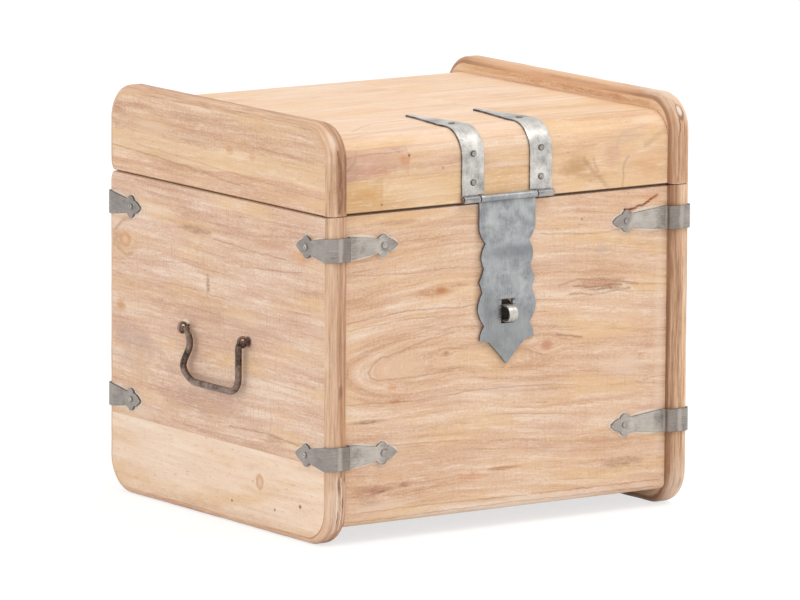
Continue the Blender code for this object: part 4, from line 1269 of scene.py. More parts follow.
# %% The irons
SHADOW_GREY = paint(92, 95, 102)
TALL = 4000
strap_iron = iron(
    "strap_iron",
    3.0,
    paint(230, 225, 217),
    paint(152, 150, 148),
    metal=0.7,
    blotch=1.2,
    smudges_and_shade=((190, 0, 15, TALL, 0.8, SHADOW_GREY), (60, 0, 40, TALL, 0.25, SHADOW_GREY)),
)
staple_iron = iron("staple_iron", 3.4, paint(216, 212, 202), paint(140, 136, 130), metal=0.7, blotch=1.4)
hasp_iron = iron(
    "hasp_iron",
    4.0,
    paint(182, 184, 184),
    paint(138, 140, 143),
    metal=0.75,
    brushed=1.3,
    blotch=1.5,
    smudges_and_shade=(
        (112, 0, 11, 40, 0.5, SHADOW_GREY),
        (96, 6, 26, 8, 0.3, SHADOW_GREY),
        (20, -3, 46, 44, 0.5, paint(122, 124, 124)),
        (56, -26, 30, 9, 0.4, paint(110, 112, 110)),
        (150, -20, 20, 16, 0.35, paint(206, 206, 203)),
        (82, 8, 22, 12, 0.35, paint(200, 200, 198)),
    ),
)
bracket_iron = iron(
    "bracket_iron",
    5.0,
    paint(196, 187, 177),
    paint(122, 114, 108),
    metal=0.7,
    brushed=1.4,
    blotch=0.9,
    # Along the bracket: a painted shade at 74 mm and a painted highlight at 66 mm on the bend round the
    # board's edge; the others make the side arm darker and the panel arm lighter.
    smudges_and_shade=(
        (30, 200, 52, TALL, 0.45, paint(128, 120, 118)),
        (74, 200, 16, TALL, 0.5, paint(104, 92, 84)),
        (66, 200, 4, TALL, 0.5, paint(200, 192, 184)),
        (110, 200, 24, TALL, 0.4, paint(214, 206, 196)),
        (148, 200, 20, TALL, 0.4, paint(158, 150, 143)),
    ),
)
screw_iron = iron("screw_iron", 6.0, paint(206, 200, 192), paint(146, 140, 135), metal=0.6, brushed=0.0)
rod_iron = iron(
    "rod_iron", 8.0, paint(160, 136, 122), paint(46, 36, 32), metal=0.7, roughness=0.34, blotch=1.8
)
print("finishes in all:", len(bpy.data.materials))

# %% [markdown]
# ## Side boards
#
# Each side is two glued boards, one on the base and one on the lid, rounded over all round except at
# the seam between them. A box with a Bevel would round the seam too. Instead the outline of the board
# is drawn once, and a ring of it is carried round a quarter circle at each face.

# %% Outline of a side board
CORNER_RADIUS = 37 * MM
EDGE_RADIUS = 7 * MM
SWING_RADIUS = 11 * MM
SEAM_EASE = 0.6 * MM
EDGE_POINTS = 44
CORNER_POINTS = 26


def board_outline(inset, height):
    """Outline of a side board as (y, distance from the seam), drawn in by inset except at the seam."""
    foot = CORNER_RADIUS - inset
    near, far = front_y + inset, back_y - inset
    deep = height - inset
    front_middle = (front_y + CORNER_RADIUS, height - CORNER_RADIUS)
    back_middle = (back_y - CORNER_RADIUS, height - CORNER_RADIUS)
    swing_middle = (back_y - SWING_RADIUS, SWING_RADIUS)
    straight = np.linspace(0, 1, EDGE_POINTS)[:, None]
    ease = SEAM_EASE * inset / EDGE_RADIUS
    down = np.array([near, ease]) * (1 - straight) + np.array([near, front_middle[1]]) * straight
    over = np.array([front_middle[0], deep]) * (1 - straight) + np.array([back_middle[0], deep]) * straight
    up = np.array([far, back_middle[1]]) * (1 - straight) + np.array([far, SWING_RADIUS]) * straight
    home = np.array([swing_middle[0], ease]) * (1 - straight) + np.array([near, ease]) * straight
    parts = [
        down,
        arc(front_middle, (foot, foot), 180, 90, CORNER_POINTS),
        over[1:-1],
        arc(back_middle, (foot, foot), 90, 0, CORNER_POINTS),
        up[1:-1],
        arc(swing_middle, (SWING_RADIUS - inset, SWING_RADIUS - ease), 0, -90, CORNER_POINTS // 2),
        home[1:],
    ]
    return np.vstack(parts)


print("the outline of a base side has", len(board_outline(0.0, base_top)), "points")

# %% Side boards
ROUND_STEPS = 9
WEAR, WEAR_WAVE = 0.22 * MM, 61 * MM
FINE_WEAR, FINE_WEAR_WAVE = 0.10 * MM, 17 * MM
UNWORN = 3 * MM
FACE_RINGS = (0.0, 0.3, 0.6, 0.85, 0.97, 1.0)


def side_board(node, side, seam_z, height, up, finish, body, seed):
    """The board's faces, filled from the middle, and its rim: a quarter circle, a flat, a quarter circle.

    On the rim, depth = r (1 - cos t) and inset = r (1 - sin t) for t from 0 to a quarter turn.
    """
    turn = np.linspace(0, np.pi / 2, ROUND_STEPS + 1)
    depth, inset = EDGE_RADIUS * (1 - np.cos(turn)), EDGE_RADIUS * (1 - np.sin(turn))
    thick = side_x - inner_x
    depths = np.concatenate([depth, [thick / 2], (thick - depth)[::-1]])
    insets = np.concatenate([inset, [0.0], inset[::-1]])
    rings = np.array([board_outline(i, height) for i in insets])
    along = lengths(rings[ROUND_STEPS])
    worn = WEAR * (1 + ripple(along, WEAR_WAVE, seed))
    worn = worn + FINE_WEAR * (1 + ripple(along, FINE_WEAR_WAVE, seed + 2))
    middle = np.array([middle_y, height / 2])
    off_seam = np.minimum(rings[..., 1] / UNWORN, 1.0)
    away = rings - middle
    away = away / np.linalg.norm(away, axis=2, keepdims=True)
    rings = rings - away * (worn * off_seam)[..., None]

    def placed(flat, deep):
        """Board points, as (y, distance from the seam), at their depth under the outer face."""
        x = np.broadcast_to(side * (side_x - deep), flat.shape[:-1])
        return np.stack([x, flat[..., 0], seam_z + up * flat[..., 1]], axis=-1)

    across = np.concatenate([[0.0], np.cumsum(np.hypot(np.diff(depths), np.diff(insets)))])
    rim_map = np.stack(np.broadcast_arrays(along[None, :] + BAND_SHIFT, across[:, None]), axis=-1)
    grids = [(placed(rings, depths[:, None]), rim_map, None)]
    shares = np.array(FACE_RINGS)[:, None, None]
    for ring, deep, moved in ((rings[0], 0.0, 0.0), (rings[-1], thick, INNER_SHIFT)):
        fill = middle + shares * (ring - middle)
        place = placed(fill, deep)
        grids.append((place, place[..., 1:] + (moved, 0.0), None))
    return add_piece(node + "_finished", grids, finish, body, "side_wood", node)


lid_height = chest_top - lid_bottom
for word, side, base_finish, lid_finish in (
    ("left", -1, left_wood, lid_side_wood),
    ("right", 1, right_wood, right_lid_wood),
):
    side_board("base_side_" + word, side, base_top, base_top, -1, base_finish, "base", 1.0 + side)
    side_board("lid_side_" + word, side, lid_bottom, lid_height, 1, lid_finish, "lid", 4.0 + side)
print("side boards:", len(made))

# %% [markdown]
# ## Boards between the sides
#
# Front, back, floor and lid boards run from side to side. Each is one closed profile in the side
# view, carried straight along X. The map follows the outside of the profile, so that the grain flows
# over the lid's round edge without stretching.

# %% Boards between the sides
BOARD_HALF = inner_x - FIT
STATIONS = 60
PROFILE_STEP = 4 * MM


def long_board(node, outside, inside, finish, body, start_across):
    """A board: the profile's outside line, then its inside line back, carried from end to end."""
    outside, inside = walk(np.array(outside), PROFILE_STEP), walk(np.array(inside), PROFILE_STEP)
    loop = np.vstack([outside, inside[1:]])
    along = lengths(loop)
    x = np.linspace(-BOARD_HALF, BOARD_HALF, STATIONS)
    place = np.empty((STATIONS, len(loop), 3))
    place[..., 0], place[..., 1:] = x[:, None], loop[None]
    spread = np.stack(np.broadcast_arrays(x[:, None], (start_across + along)[None, :]), axis=-1)
    caps = [(place[0, :-1], loop[:-1]), (place[-1, :-1], loop[:-1])]
    grids = [(place, spread, None)]
    return add_piece(node + "_finished", grids, finish, body, "panel_wood", node, caps, BOARD_SHARP)


print("the boards are", round(2 * BOARD_HALF, 4), "m long")

# %% Boards of the base
BOARD_THICK = high("base_front_board", 1) - face_y
FOOT_RADIUS = 8 * MM
CHAMFER = 1.0 * MM


def base_board(node, face, inward, finish):
    """A front or back board of the base: rounded at the foot, eased at the seam."""
    inner, low_z = face + inward * BOARD_THICK, low("base_front_board", 2)
    eased = face + inward * CHAMFER
    outer = [(inner, low_z), (face, low_z), (face, base_top - CHAMFER), (eased, base_top)]
    foot = round_corner(outer[0], outer[1], outer[2], FOOT_RADIUS, ROUND_STEPS)
    outside = np.vstack([outer[:1], foot, outer[2:]])
    flat_start = lengths(outside)[ROUND_STEPS + 1]
    start = low_z + FOOT_RADIUS - flat_start
    return long_board(node, outside, [outer[3], (inner, base_top), outer[0]], finish, "base", start)


base_board("base_front_board", face_y, 1, front_wood)
base_board("base_back_board", back_face_y, -1, back_wood)
print("front and back boards are", round(BOARD_THICK, 4), "m thick")

# %% Boards of the lid
LID_RADIUS = 28 * MM
FRONT_TURNS, TOP_TURNS = 12, 16


def lid_edge(face, inward, start_z, end_z, steps):
    """The lid's long round edge between two heights: y = face + r (1 - cos t), z = centre + r sin t."""
    centre = lid_top - LID_RADIUS
    turns = np.arcsin(np.clip((np.array([start_z, end_z]) - centre) / LID_RADIUS, 0, 1))
    turn = np.linspace(*turns, steps + 1)
    y = face + inward * LID_RADIUS * (1 - np.cos(turn))
    return np.column_stack([y, centre + LID_RADIUS * np.sin(turn)])


for node, face, inward, finish in (
    ("lid_front_board", face_y, 1, lid_wood),
    ("lid_back_board", back_face_y, -1, back_wood),
):
    inner, eased = face + inward * BOARD_THICK, face + inward * CHAMFER
    edge = lid_edge(face, inward, lid_top - LID_RADIUS, lid_joint, FRONT_TURNS)
    outside = np.vstack([[(eased, lid_bottom), (face, lid_bottom + CHAMFER)], edge])
    inside = [tuple(edge[-1]), (inner, lid_joint), (inner, lid_bottom), (eased, lid_bottom)]
    long_board(node, outside, inside, finish, "lid", lid_bottom - CHAMFER / 2)

top_front = lid_edge(face_y, 1, lid_joint, lid_top, TOP_TURNS)
top_back = lid_edge(back_face_y, -1, lid_joint, lid_top, TOP_TURNS)[::-1]
turned_over = LID_RADIUS * np.arcsin((lid_joint - lid_top + LID_RADIUS) / LID_RADIUS)
long_board(
    "lid_top_board",
    np.vstack([top_front, top_back]),
    [tuple(top_back[-1]), tuple(top_front[0])],
    lid_wood,
    "lid",
    lid_top - LID_RADIUS + turned_over,
)
print("the lid's round edge reaches", round(turned_over, 4), "m before the top board takes over")

# %% Floor board
floor_low, floor_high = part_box("base_floor_board")
floor_corners = [
    (floor_low[1], floor_high[2]),
    (floor_high[1], floor_high[2]),
    (floor_high[1], floor_low[2]),
    (floor_low[1], floor_low[2]),
    (floor_low[1], floor_high[2]),
]
long_board("base_floor_board", floor_corners[:2], floor_corners[1:], floor_wood, "base", floor_low[1])
print("boards in all:", len(made))

# %% [markdown]
# ## Bent sheet
#
# Brackets, straps, hasp, staple and hinge leaves are all strips cut from sheet and bent. A strip is a
# middle line in the side view or the plan, two edges that vary along it, and a thickness. Solidify on
# a flat cut-out could give that thickness, but not the softened edges that catch the light, so the
# section of the strip is drawn with its four corners rounded and carried along the line.

# %% Strips of sheet
STATION_STEP = 0.7 * MM
EASE = 0.4 * MM
EDGE_TURNS = (30.0, 60.0, 90.0)
SHEET_COLUMNS = 8


def strip_section(sheet, columns):
    """The section of a strip: shares across it, pushes beyond its eased edges, and offsets.

    It goes along the face, round one edge by (e sin t, e cos t), back along the other face, and round
    the other edge.
    """
    turn = np.radians(EDGE_TURNS)
    push, fall = np.sin(turn), sheet / 2 - EASE * (1 - np.cos(turn))
    flat = np.linspace(0, 1, columns + 1)
    zero, one = np.zeros(columns + 1), np.ones(len(turn))
    shares = np.concatenate([flat, one, one, flat[::-1], 0 * one, 0 * one, [0.0]])
    pushes = np.concatenate([zero, push, push[::-1], zero, -push, -push[::-1], [0.0]])
    up = np.full(columns + 1, sheet / 2)
    offsets = np.concatenate([up, fall, -fall[::-1], -up, -fall, fall[::-1], [sheet / 2]])
    return shares, pushes, offsets


def strip(name, node, path, lows, highs, sheet, place, finish, body, columns=SHEET_COLUMNS, slot=None,
          painted_shade_side=0):
    """A strip of sheet, with a slot's cells cut out if given. Its edges, and one face, can be darkened:
    the edges as rust and painted shade, the face as painted shade.
    """
    shares, pushes, offsets = strip_section(sheet, columns)
    ease = np.minimum(EASE, (highs - lows) / 3)[:, None]
    if slot is None:
        inner = lows[:, None] + ease + shares * (highs - lows)[:, None] - 2 * ease * shares
    else:
        inner = slot["across"](lows[:, None] + ease, highs[:, None] - ease, shares)
    across = inner + pushes * ease
    side = mitres(path)
    flat = path[:, None, :] + side[:, None, :] * offsets[None, :, None]
    points = place(flat, across)
    along = np.broadcast_to(lengths(path)[:, None], across.shape)
    edge_and_shade_mark = np.maximum(np.abs(pushes), painted_shade_side * offsets > 0)
    spread = np.stack([along, across, np.broadcast_to(edge_and_shade_mark, across.shape)], axis=-1)
    opened = None
    grids = []
    if slot is not None:
        first, last, start, end = slot["cells"]
        opened = np.zeros((len(path) - 1, len(shares) - 1), bool)
        back = 2 * columns + 2 * len(EDGE_TURNS) + 1
        opened[first:last, start:end] = True
        opened[first:last, back - end:back - start] = True
        rows, cells = np.arange(first, last + 1), np.arange(start, end + 1)
        row = np.concatenate([rows, np.full(len(cells), last), rows[::-1], np.full(len(cells), first)])
        cell = np.concatenate([
            np.full(len(rows), start), cells, np.full(len(rows), end), cells[::-1],
        ])
        wall = np.stack([points[row, cell], points[row, back - cell]])
        rim = np.stack([spread[row, cell], spread[row, cell]])
        rim[..., 2] = 1.0
        grids.append((wall, rim, None))
    grids.append((points, spread, opened))
    caps = [(points[i, :-1], spread[i, :-1]) for i in (0, -1)]
    return add_piece(name, grids, finish, body, "sheet_iron", node, caps)


def in_side_view(flat, across):
    """Points drawn as (y, z), at their places across the chest."""
    return np.stack([across, flat[..., 0], flat[..., 1]], axis=-1)


print("a strip's section has", len(strip_section(2 * MM, SHEET_COLUMNS)[0]), "points")

# %% [markdown]
# ## Corner brackets
#
# Each corner has two brackets, bent round the side board and back on to the panel. Each arm ends in
# three lobes: a pointed one at the tip and one above and below it. The outline is a formula of the
# distance from the tip, so the same one serves all sixteen tips.

# %% Brackets
BRACKET_SHEET = 2 * MM
BRACKET_HALF = 11.8 * MM
TIP_LENGTH = 10.9 * MM
TIP_HALF = 6.0 * MM
TIP_BLUNT = 0.9 * MM
NOTCH_DEPTH = 0.5 * MM
LOBE_END = 24 * MM
NECK_HALF = 7.3 * MM
LOBE_RISE = 5.1 * MM
TIP_POWER, LEAN_POWER, LOBE_POWER = 1.7, 0.78, 0.75
BEND_STEPS = 8


def lobed_half(steps, arm):
    """Half height of a bracket at a distance from its tip.

    Tip: a pointed arch, half (1 - (1 - s/length)^1.7). Lobe: from a small notch to the neck, plus a sine
    that leans to the tip. Arm: a straight widening to the full height.
    """
    tip = TIP_HALF * (1 - np.clip(1 - steps / TIP_LENGTH, 0, 1) ** TIP_POWER) + TIP_BLUNT
    notch = TIP_HALF - NOTCH_DEPTH
    lean = np.clip((steps - TIP_LENGTH) / (LOBE_END - TIP_LENGTH), 0, 1) ** LEAN_POWER
    lobe = notch + (NECK_HALF - notch) * lean + LOBE_RISE * np.sin(np.pi * lean) ** LOBE_POWER
    share = np.clip((steps - LOBE_END) / (arm - LOBE_END), 0, 1)
    widening = NECK_HALF + (BRACKET_HALF - NECK_HALF) * share
    return np.where(steps < TIP_LENGTH, tip, np.where(steps < LOBE_END, lobe, widening))


def bracket(name, side, front, body):
    """One bracket: down the side board's face, round its edge, back to the panel and along it."""
    box_low, box_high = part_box(name)
    edge_y, panel_y = (front_y, face_y) if front else (back_y, back_face_y)
    recess = abs(panel_y - edge_y)
    off = FIT + BRACKET_SHEET / 2
    side_arm = box_high[1] - front_y if front else back_y - box_low[1]
    tip_x = box_low[0] if side > 0 else box_high[0]
    panel_end = side_x - side * tip_x
    bend = recess / 2 - FIT
    thick = side_x - inner_x
    corners = ((-off, side_arm), (-off, -off), (thick + off, -off), (thick + off, recess - off),
               (panel_end, recess - off))
    line = rounded_line(corners, (EDGE_RADIUS + off, bend, bend), BEND_STEPS)
    total = lengths(line)[-1]
    path = walk(line, STATION_STEP, (TIP_LENGTH, LOBE_END, total - TIP_LENGTH, total - LOBE_END))
    steps = lengths(path)
    panel_arm = panel_end - thick - off - bend
    half = np.minimum(
        lobed_half(steps, side_arm - EDGE_RADIUS),
        lobed_half(total - steps, panel_arm),
    )
    height = (box_low[2] + box_high[2]) / 2
    way = 1 if front else -1

    def placed(flat, z):
        """Points drawn from the corner of the side board, as (inwards, along the side)."""
        return np.stack([side * (side_x - flat[..., 0]), edge_y + way * flat[..., 1], z], axis=-1)

    return strip(name + "_finished", name, path, height - half, height + half, BRACKET_SHEET, placed,
                 bracket_iron, body)


for end in ("front", "back"):
    for word, side in SIDES:
        for level in LEVELS:
            bracket(f"bracket_{end}_{word}_{level}", side, end == "front", "base")
print("pieces so far:", len(made))

# %% [markdown]
# ## Straps and hasp
#
# A strap starts as a narrow tongue on the lid's top, widens, follows the round edge down the front and
# rolls round the pin. The hasp hangs from the same pin between them. Its outline is a row of cusps and
# arcs. The pin passes through all the knuckles in turn.

# %% Straps
STRAP_SHEET = 1.8 * MM
STRAP_WIDTH = 26.8 * MM
STRAP_TIP = 6.4 * MM
STRAP_NECK = 8.0 * MM
STRAP_NECK_AT = 19 * MM
STRAP_WIDE_AT = 72 * MM
STRAP_TOP_LENGTH = 85 * MM
PIN_RADIUS = 1.6 * MM
PIN_ROOM = 0.3 * MM
KNUCKLE_AT = 35.2 * MM
ROLL_SWEEP = 262.0
ROLL_STEPS = 40
STRAP_BEND_STEPS = 24
STEP_START, STEP_END = 0.03 * MM, 0.05 * MM
TONGUE_BLUNT = 0.55
TONGUE_ROUND = 3 * MM
STRAP_COLUMNS = 12
pin_low, pin_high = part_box("hasp_pin")
axis_y, axis_z = (pin_low[1] + pin_high[1]) / 2, (pin_low[2] + pin_high[2]) / 2
strap_roll = PIN_RADIUS + PIN_ROOM + STRAP_SHEET / 2
print("the hasp turns about y", round(axis_y, 4), "z", round(axis_z, 4))


def strap(word, side):
    """A strap: its middle line, its width along the line, and the step at the knuckle."""
    node = "strap_" + word
    middle = (low(node, 0) + high(node, 0)) / 2
    off = FIT + STRAP_SHEET / 2
    flat_y = face_y - off
    corners = (
        (face_y + LID_RADIUS + STRAP_TOP_LENGTH, lid_top + off),
        (flat_y, lid_top + off),
        (flat_y, axis_z),
    )
    line = rounded_line(corners, (LID_RADIUS + off,), STRAP_BEND_STEPS)
    roll = arc((axis_y, axis_z), (strap_roll, strap_roll), 0, -ROLL_SWEEP, ROLL_STEPS)
    knuckle = lengths(line)[-1] - (strap_roll + STRAP_SHEET)
    marks = (STRAP_NECK_AT, STRAP_WIDE_AT, knuckle, knuckle + STEP_END)
    path = walk(np.vstack([line, roll[1:]]), STATION_STEP, marks)
    steps = lengths(path)
    half = np.interp(
        steps, (0, STRAP_NECK_AT, STRAP_WIDE_AT), (STRAP_TIP / 2, STRAP_NECK / 2, STRAP_WIDTH / 2)
    )
    half = half * np.clip(TONGUE_BLUNT + steps / TONGUE_ROUND, 0, 1)
    lows, highs = middle - half, middle + half
    inner = fitting_x + side * KNUCKLE_AT
    if side > 0:
        lows = np.where(steps > knuckle + STEP_START, inner, lows)
    else:
        highs = np.where(steps > knuckle + STEP_START, inner, highs)
    strip(node + "_finished", node, path, lows, highs, STRAP_SHEET, in_side_view, strap_iron, "lid",
          STRAP_COLUMNS)


for word, side in SIDES:
    strap(word, side)
print("pieces so far:", len(made))

# %% [markdown]
# The hasp's edge is a row of cusps. Each row of the table is a cusp: its distance from the tip, the
# half width there, and how far the edge bulges before the next one.

# %% Hasp
HASP_SHEET = 1.8 * MM
HASP_CRANK = 7.5 * MM
HASP_STANDOFF = 1.6 * MM
SLOT_WIDTH = 13.8 * MM
SLOT_LENGTH = 24.5 * MM
SLOT_RISE = 40.5 * MM
SLOT_SHARE = 0.5
SLOT_MOST = 0.6
HASP_COLUMNS = 16
hasp_foot = low("hasp_plate", 2)
HASP_OUTLINE = (
    (0.0, 0.8, -0.6),
    (22.8, 22.5, 0.0),
    (24.7, 32.7, 1.7),
    (39.2, 27.6, 6.4),
    (72.6, 30.3, -0.6),
    (83.7, 34.2, -0.6),
    (97.5, 28.5, 4.0),
    (122.4, 26.6, 1.4),
    (137.0, 34.2, 0.0),
)


def scalloped(steps, outline):
    """Half width along the hasp: between two cusps, a straight line plus a sine bulge."""
    marks = np.array(outline) * MM
    which = np.clip(np.searchsorted(marks[:, 0], steps, side="right") - 1, 0, len(marks) - 1)
    after = np.minimum(which + 1, len(marks) - 1)
    span = np.maximum(marks[after, 0] - marks[which, 0], SAME_PLACE)
    share = np.clip((steps - marks[which, 0]) / span, 0, 1)
    straight = marks[which, 1] + (marks[after, 1] - marks[which, 1]) * share
    return straight + marks[which, 2] * np.sin(np.pi * share)


def hasp_columns(lows, highs, shares):
    """Places across the hasp: the middle half keeps to the slot's width, the rest fills to the edges."""
    middle, half = (lows + highs) / 2, (highs - lows) / 2
    inner = np.minimum(SLOT_WIDTH / 2, half * SLOT_MOST)
    reach = 2 * shares - 1
    inside = reach / SLOT_SHARE * inner
    outside = np.sign(reach) * (inner + (np.abs(reach) - SLOT_SHARE) / (1 - SLOT_SHARE) * (half - inner))
    return middle + np.where(np.abs(reach) <= SLOT_SHARE, inside, outside)


def hasp():
    """The hasp plate, from its tip up, cranked back and rolled over the pin."""
    roll = PIN_RADIUS + PIN_ROOM + HASP_SHEET / 2
    plate_y = face_y - HASP_STANDOFF - HASP_SHEET / 2
    foot = np.array([plate_y - axis_y, -HASP_CRANK])
    start = np.degrees(np.arctan2(foot[1], foot[0]) + np.arccos(roll / np.linalg.norm(foot)))
    wrap = arc((axis_y, axis_z), (roll, roll), start, start + ROLL_SWEEP, ROLL_STEPS)
    line = np.vstack([[(plate_y, hasp_foot), (plate_y, axis_z - HASP_CRANK)], wrap])
    marks = [d * MM for d, _, _ in HASP_OUTLINE] + [SLOT_RISE, SLOT_RISE + SLOT_LENGTH]
    path = walk(line, STATION_STEP, marks)
    steps = lengths(path)
    half = scalloped(steps, HASP_OUTLINE)
    first, last = (int(np.argmin(np.abs(steps - d))) for d in (SLOT_RISE, SLOT_RISE + SLOT_LENGTH))
    slot = {"across": hasp_columns, "cells": (first, last, HASP_COLUMNS // 4, 3 * HASP_COLUMNS // 4)}
    strip("hasp_plate_finished", "hasp_plate", path, fitting_x - half, fitting_x + half, HASP_SHEET,
          in_side_view, hasp_iron, "hasp", HASP_COLUMNS, slot)


hasp()
print("pieces so far:", len(made))

# %% [markdown]
# ## Staple
#
# The staple is a bent strip that stands through the hasp's slot, so that a lock could hold it. Its
# legs pass through the board, and their ends are turned apart inside.

# %% Staple
STAPLE_SHEET = 1.8 * MM
STAPLE_BEND = 1.5 * MM
STAPLE_RISE = 1.6 * MM
STAPLE_HEIGHT = 17 * MM
BOW_FLAT = 0.15 * MM
STAPLE_STEPS = 12
STAPLE_COLUMNS = 6
staple_low, staple_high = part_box("staple")
loop_bottom = hasp_foot + SLOT_RISE + STAPLE_RISE + STAPLE_SHEET / 2
loop_top = loop_bottom + STAPLE_HEIGHT - STAPLE_SHEET
nose_y, clinch_y = staple_low[1] + STAPLE_SHEET / 2, staple_high[1] - STAPLE_SHEET / 2
bow = (loop_top - loop_bottom) / 2 - BOW_FLAT
staple_line = rounded_line(
    (
        (clinch_y, staple_high[2]),
        (clinch_y, loop_top),
        (nose_y, loop_top),
        (nose_y, loop_bottom),
        (clinch_y, loop_bottom),
        (clinch_y, staple_low[2]),
    ),
    (STAPLE_BEND, bow, bow, STAPLE_BEND),
    STAPLE_STEPS,
)
staple_path = walk(staple_line, STATION_STEP)
staple_across = np.ones(len(staple_path))
# One face of the staple, inside its loop, is darkened as painted shade.
strip("staple_finished", "staple", staple_path, staple_across * staple_low[0],
      staple_across * staple_high[0], STAPLE_SHEET, in_side_view, staple_iron, "base",
      STAPLE_COLUMNS, painted_shade_side=1)
print("the staple stands out to y", round(nose_y, 4))

# %% [markdown]
# ## Rear hinges
#
# Two butt hinges at the back, unseen from the front, carry the lid. The base leaf has the two outer
# knuckles and the lid leaf the middle one.

# %% Rear hinges
HINGE_SHEET = 1.6 * MM
HINGE_PIN = 1.4 * MM
KNUCKLE_GAP = 0.4 * MM
TIP_NARROWING = 8 * MM
TIP_SLOPE = 6 * MM
hinge_pin_low, hinge_pin_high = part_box("hinge_left_pin")
hinge_y = (hinge_pin_low[1] + hinge_pin_high[1]) / 2
hinge_z = (hinge_pin_low[2] + hinge_pin_high[2]) / 2
hinge_roll = HINGE_PIN + PIN_ROOM + HINGE_SHEET / 2


def hinge_leaf(node, up, body):
    """A leaf and its knuckles: strips that share one line, the knuckles narrower than the leaf."""
    left, right = low(node, 0), high(node, 0)
    tip = high(node, 2) if up > 0 else low(node, 2)
    flat_y = hinge_y - hinge_roll
    roll = arc((hinge_y, hinge_z), (hinge_roll, hinge_roll), 180, 180 + up * ROLL_SWEEP, ROLL_STEPS)
    reach = hinge_roll + HINGE_SHEET / 2 + KNUCKLE_GAP
    knuckle = (right - left) / 3
    leaf = walk(np.array([(flat_y, tip), (flat_y, hinge_z + up * reach)]), STATION_STEP, (TIP_SLOPE,))
    steps = lengths(leaf)
    narrow = np.interp(steps, (0, TIP_SLOPE), (TIP_NARROWING, 0))
    pieces = [(leaf, left + narrow, right - narrow)]
    wrap = walk(np.vstack([[(flat_y, hinge_z + up * (reach + MM))], roll]), STATION_STEP)
    ends = ((left, left + knuckle - KNUCKLE_GAP / 2), (right - knuckle + KNUCKLE_GAP / 2, right))
    if up > 0:
        ends = ((left + knuckle + KNUCKLE_GAP / 2, right - knuckle - KNUCKLE_GAP / 2),)
    pieces += [(wrap, np.full(len(wrap), a), np.full(len(wrap), b)) for a, b in ends]
    grids, caps = [], []
    shares, pushes, offsets = strip_section(HINGE_SHEET, SHEET_COLUMNS)
    for path, lows, highs in pieces:
        across = lows[:, None] + EASE + shares * (highs - lows - 2 * EASE)[:, None] + pushes * EASE
        flat = path[:, None, :] + mitres(path)[:, None, :] * offsets[None, :, None]
        points = in_side_view(flat, across)
        spread = np.stack([np.broadcast_to(lengths(path)[:, None], across.shape), across], axis=-1)
        grids.append((points, spread, None))
        caps += [(points[i, :-1], spread[i, :-1]) for i in (0, -1)]
    add_piece(node + "_finished", grids, bracket_iron, body, "sheet_iron", node, caps)


for word in ("left", "right"):
    hinge_leaf(f"hinge_{word}_base_leaf", -1, "base")
    hinge_leaf(f"hinge_{word}_lid_leaf", 1, "lid")
print("pieces so far:", len(made))

# %% [markdown]
# ## Pins and screws
#
# Pins are turned: a profile of radius against length, spun about its axis. A screw's head is a low
# dome with a slot. The slot runs straight across, so the head is a grid of straight chords rather than
# of rings: x = r u, y = v sqrt(r^2 - x^2), and the height drops where x is inside the slot.

# %% Pins
ROUND_SIDES = 28
PIN_HEAD_RIM = 1.2 * MM
PIN_DOME = 0.55
DOME_POINTS = 7


def turned(node, profile, centre, along, finish, body, slot):
    """A profile of (length, radius) spun about an axis, 0 to 2, through a centre."""
    turn = np.linspace(0, 2 * np.pi, ROUND_SIDES + 1)
    lengthwise, radius = np.array(profile).T
    place = np.empty((len(profile), ROUND_SIDES + 1, 3))
    place[..., along] = centre[along] + lengthwise[:, None]
    place[..., (along + 1) % 3] = centre[(along + 1) % 3] + radius[:, None] * np.cos(turn)
    place[..., (along + 2) % 3] = centre[(along + 2) % 3] + radius[:, None] * np.sin(turn)
    spread = np.stack(np.broadcast_arrays(lengthwise[:, None], turn * radius.max()), axis=-1)
    add_piece(node + "_finished", [(place, spread, None)], finish, body, slot, node)


def pin(node, radius, head, body):
    """A pin with peened heads: a dome, a short rim and the shank, and the same again."""
    pin_from, pin_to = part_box(node)
    centre = (pin_from + pin_to) / 2
    half = (pin_to[0] - pin_from[0]) / 2
    bulge = PIN_HEAD_RIM * PIN_DOME
    turns = np.linspace(0, np.pi / 2, DOME_POINTS)
    dome = [(half - bulge * (1 - np.cos(t)), head * np.sin(t)) for t in turns]
    right = dome + [(half - PIN_HEAD_RIM, head), (half - PIN_HEAD_RIM, radius)]
    profile = right + [(-x, r) for x, r in right[::-1]]
    turned(node, profile, centre, 0, rod_iron, body, "rod_iron")


pin("hasp_pin", PIN_RADIUS, PIN_RADIUS + MM, "lid")
for word in ("left", "right"):
    pin(f"hinge_{word}_pin", HINGE_PIN, HINGE_PIN + MM, "base")
print("pieces so far:", len(made))

# %% Screws
SHANK_RADIUS = 1.7 * MM
HEAD_RADIUS = 3.3 * MM
HEAD_HEIGHT = 1.1 * MM
HEAD_RIM = 0.2 * MM
SOLID_HEAD = 1.5 * MM
SLOT_HALF = 0.42 * MM
SLOT_DEPTH = 0.6 * MM
SLOT_WALL = 0.98
DOME_EDGE = 0.999
NEXT_CHORD = 1.12
HEAD_OVERHANG = 0.05 * MM
POINT_LENGTH, POINT_RADIUS = 3 * MM, 0.5 * MM
CHORDS = 26
# Where the painted shade ring round a screw head starts, how wide it is, and its strength on the brackets.
SHADE_RING_FROM, SHADE_RING_WIDE = 0.56, 0.2
BRACKET_SHADE_RING = 0.6
FIRST_TURN, TURN_STEP = 0.5, 1.9


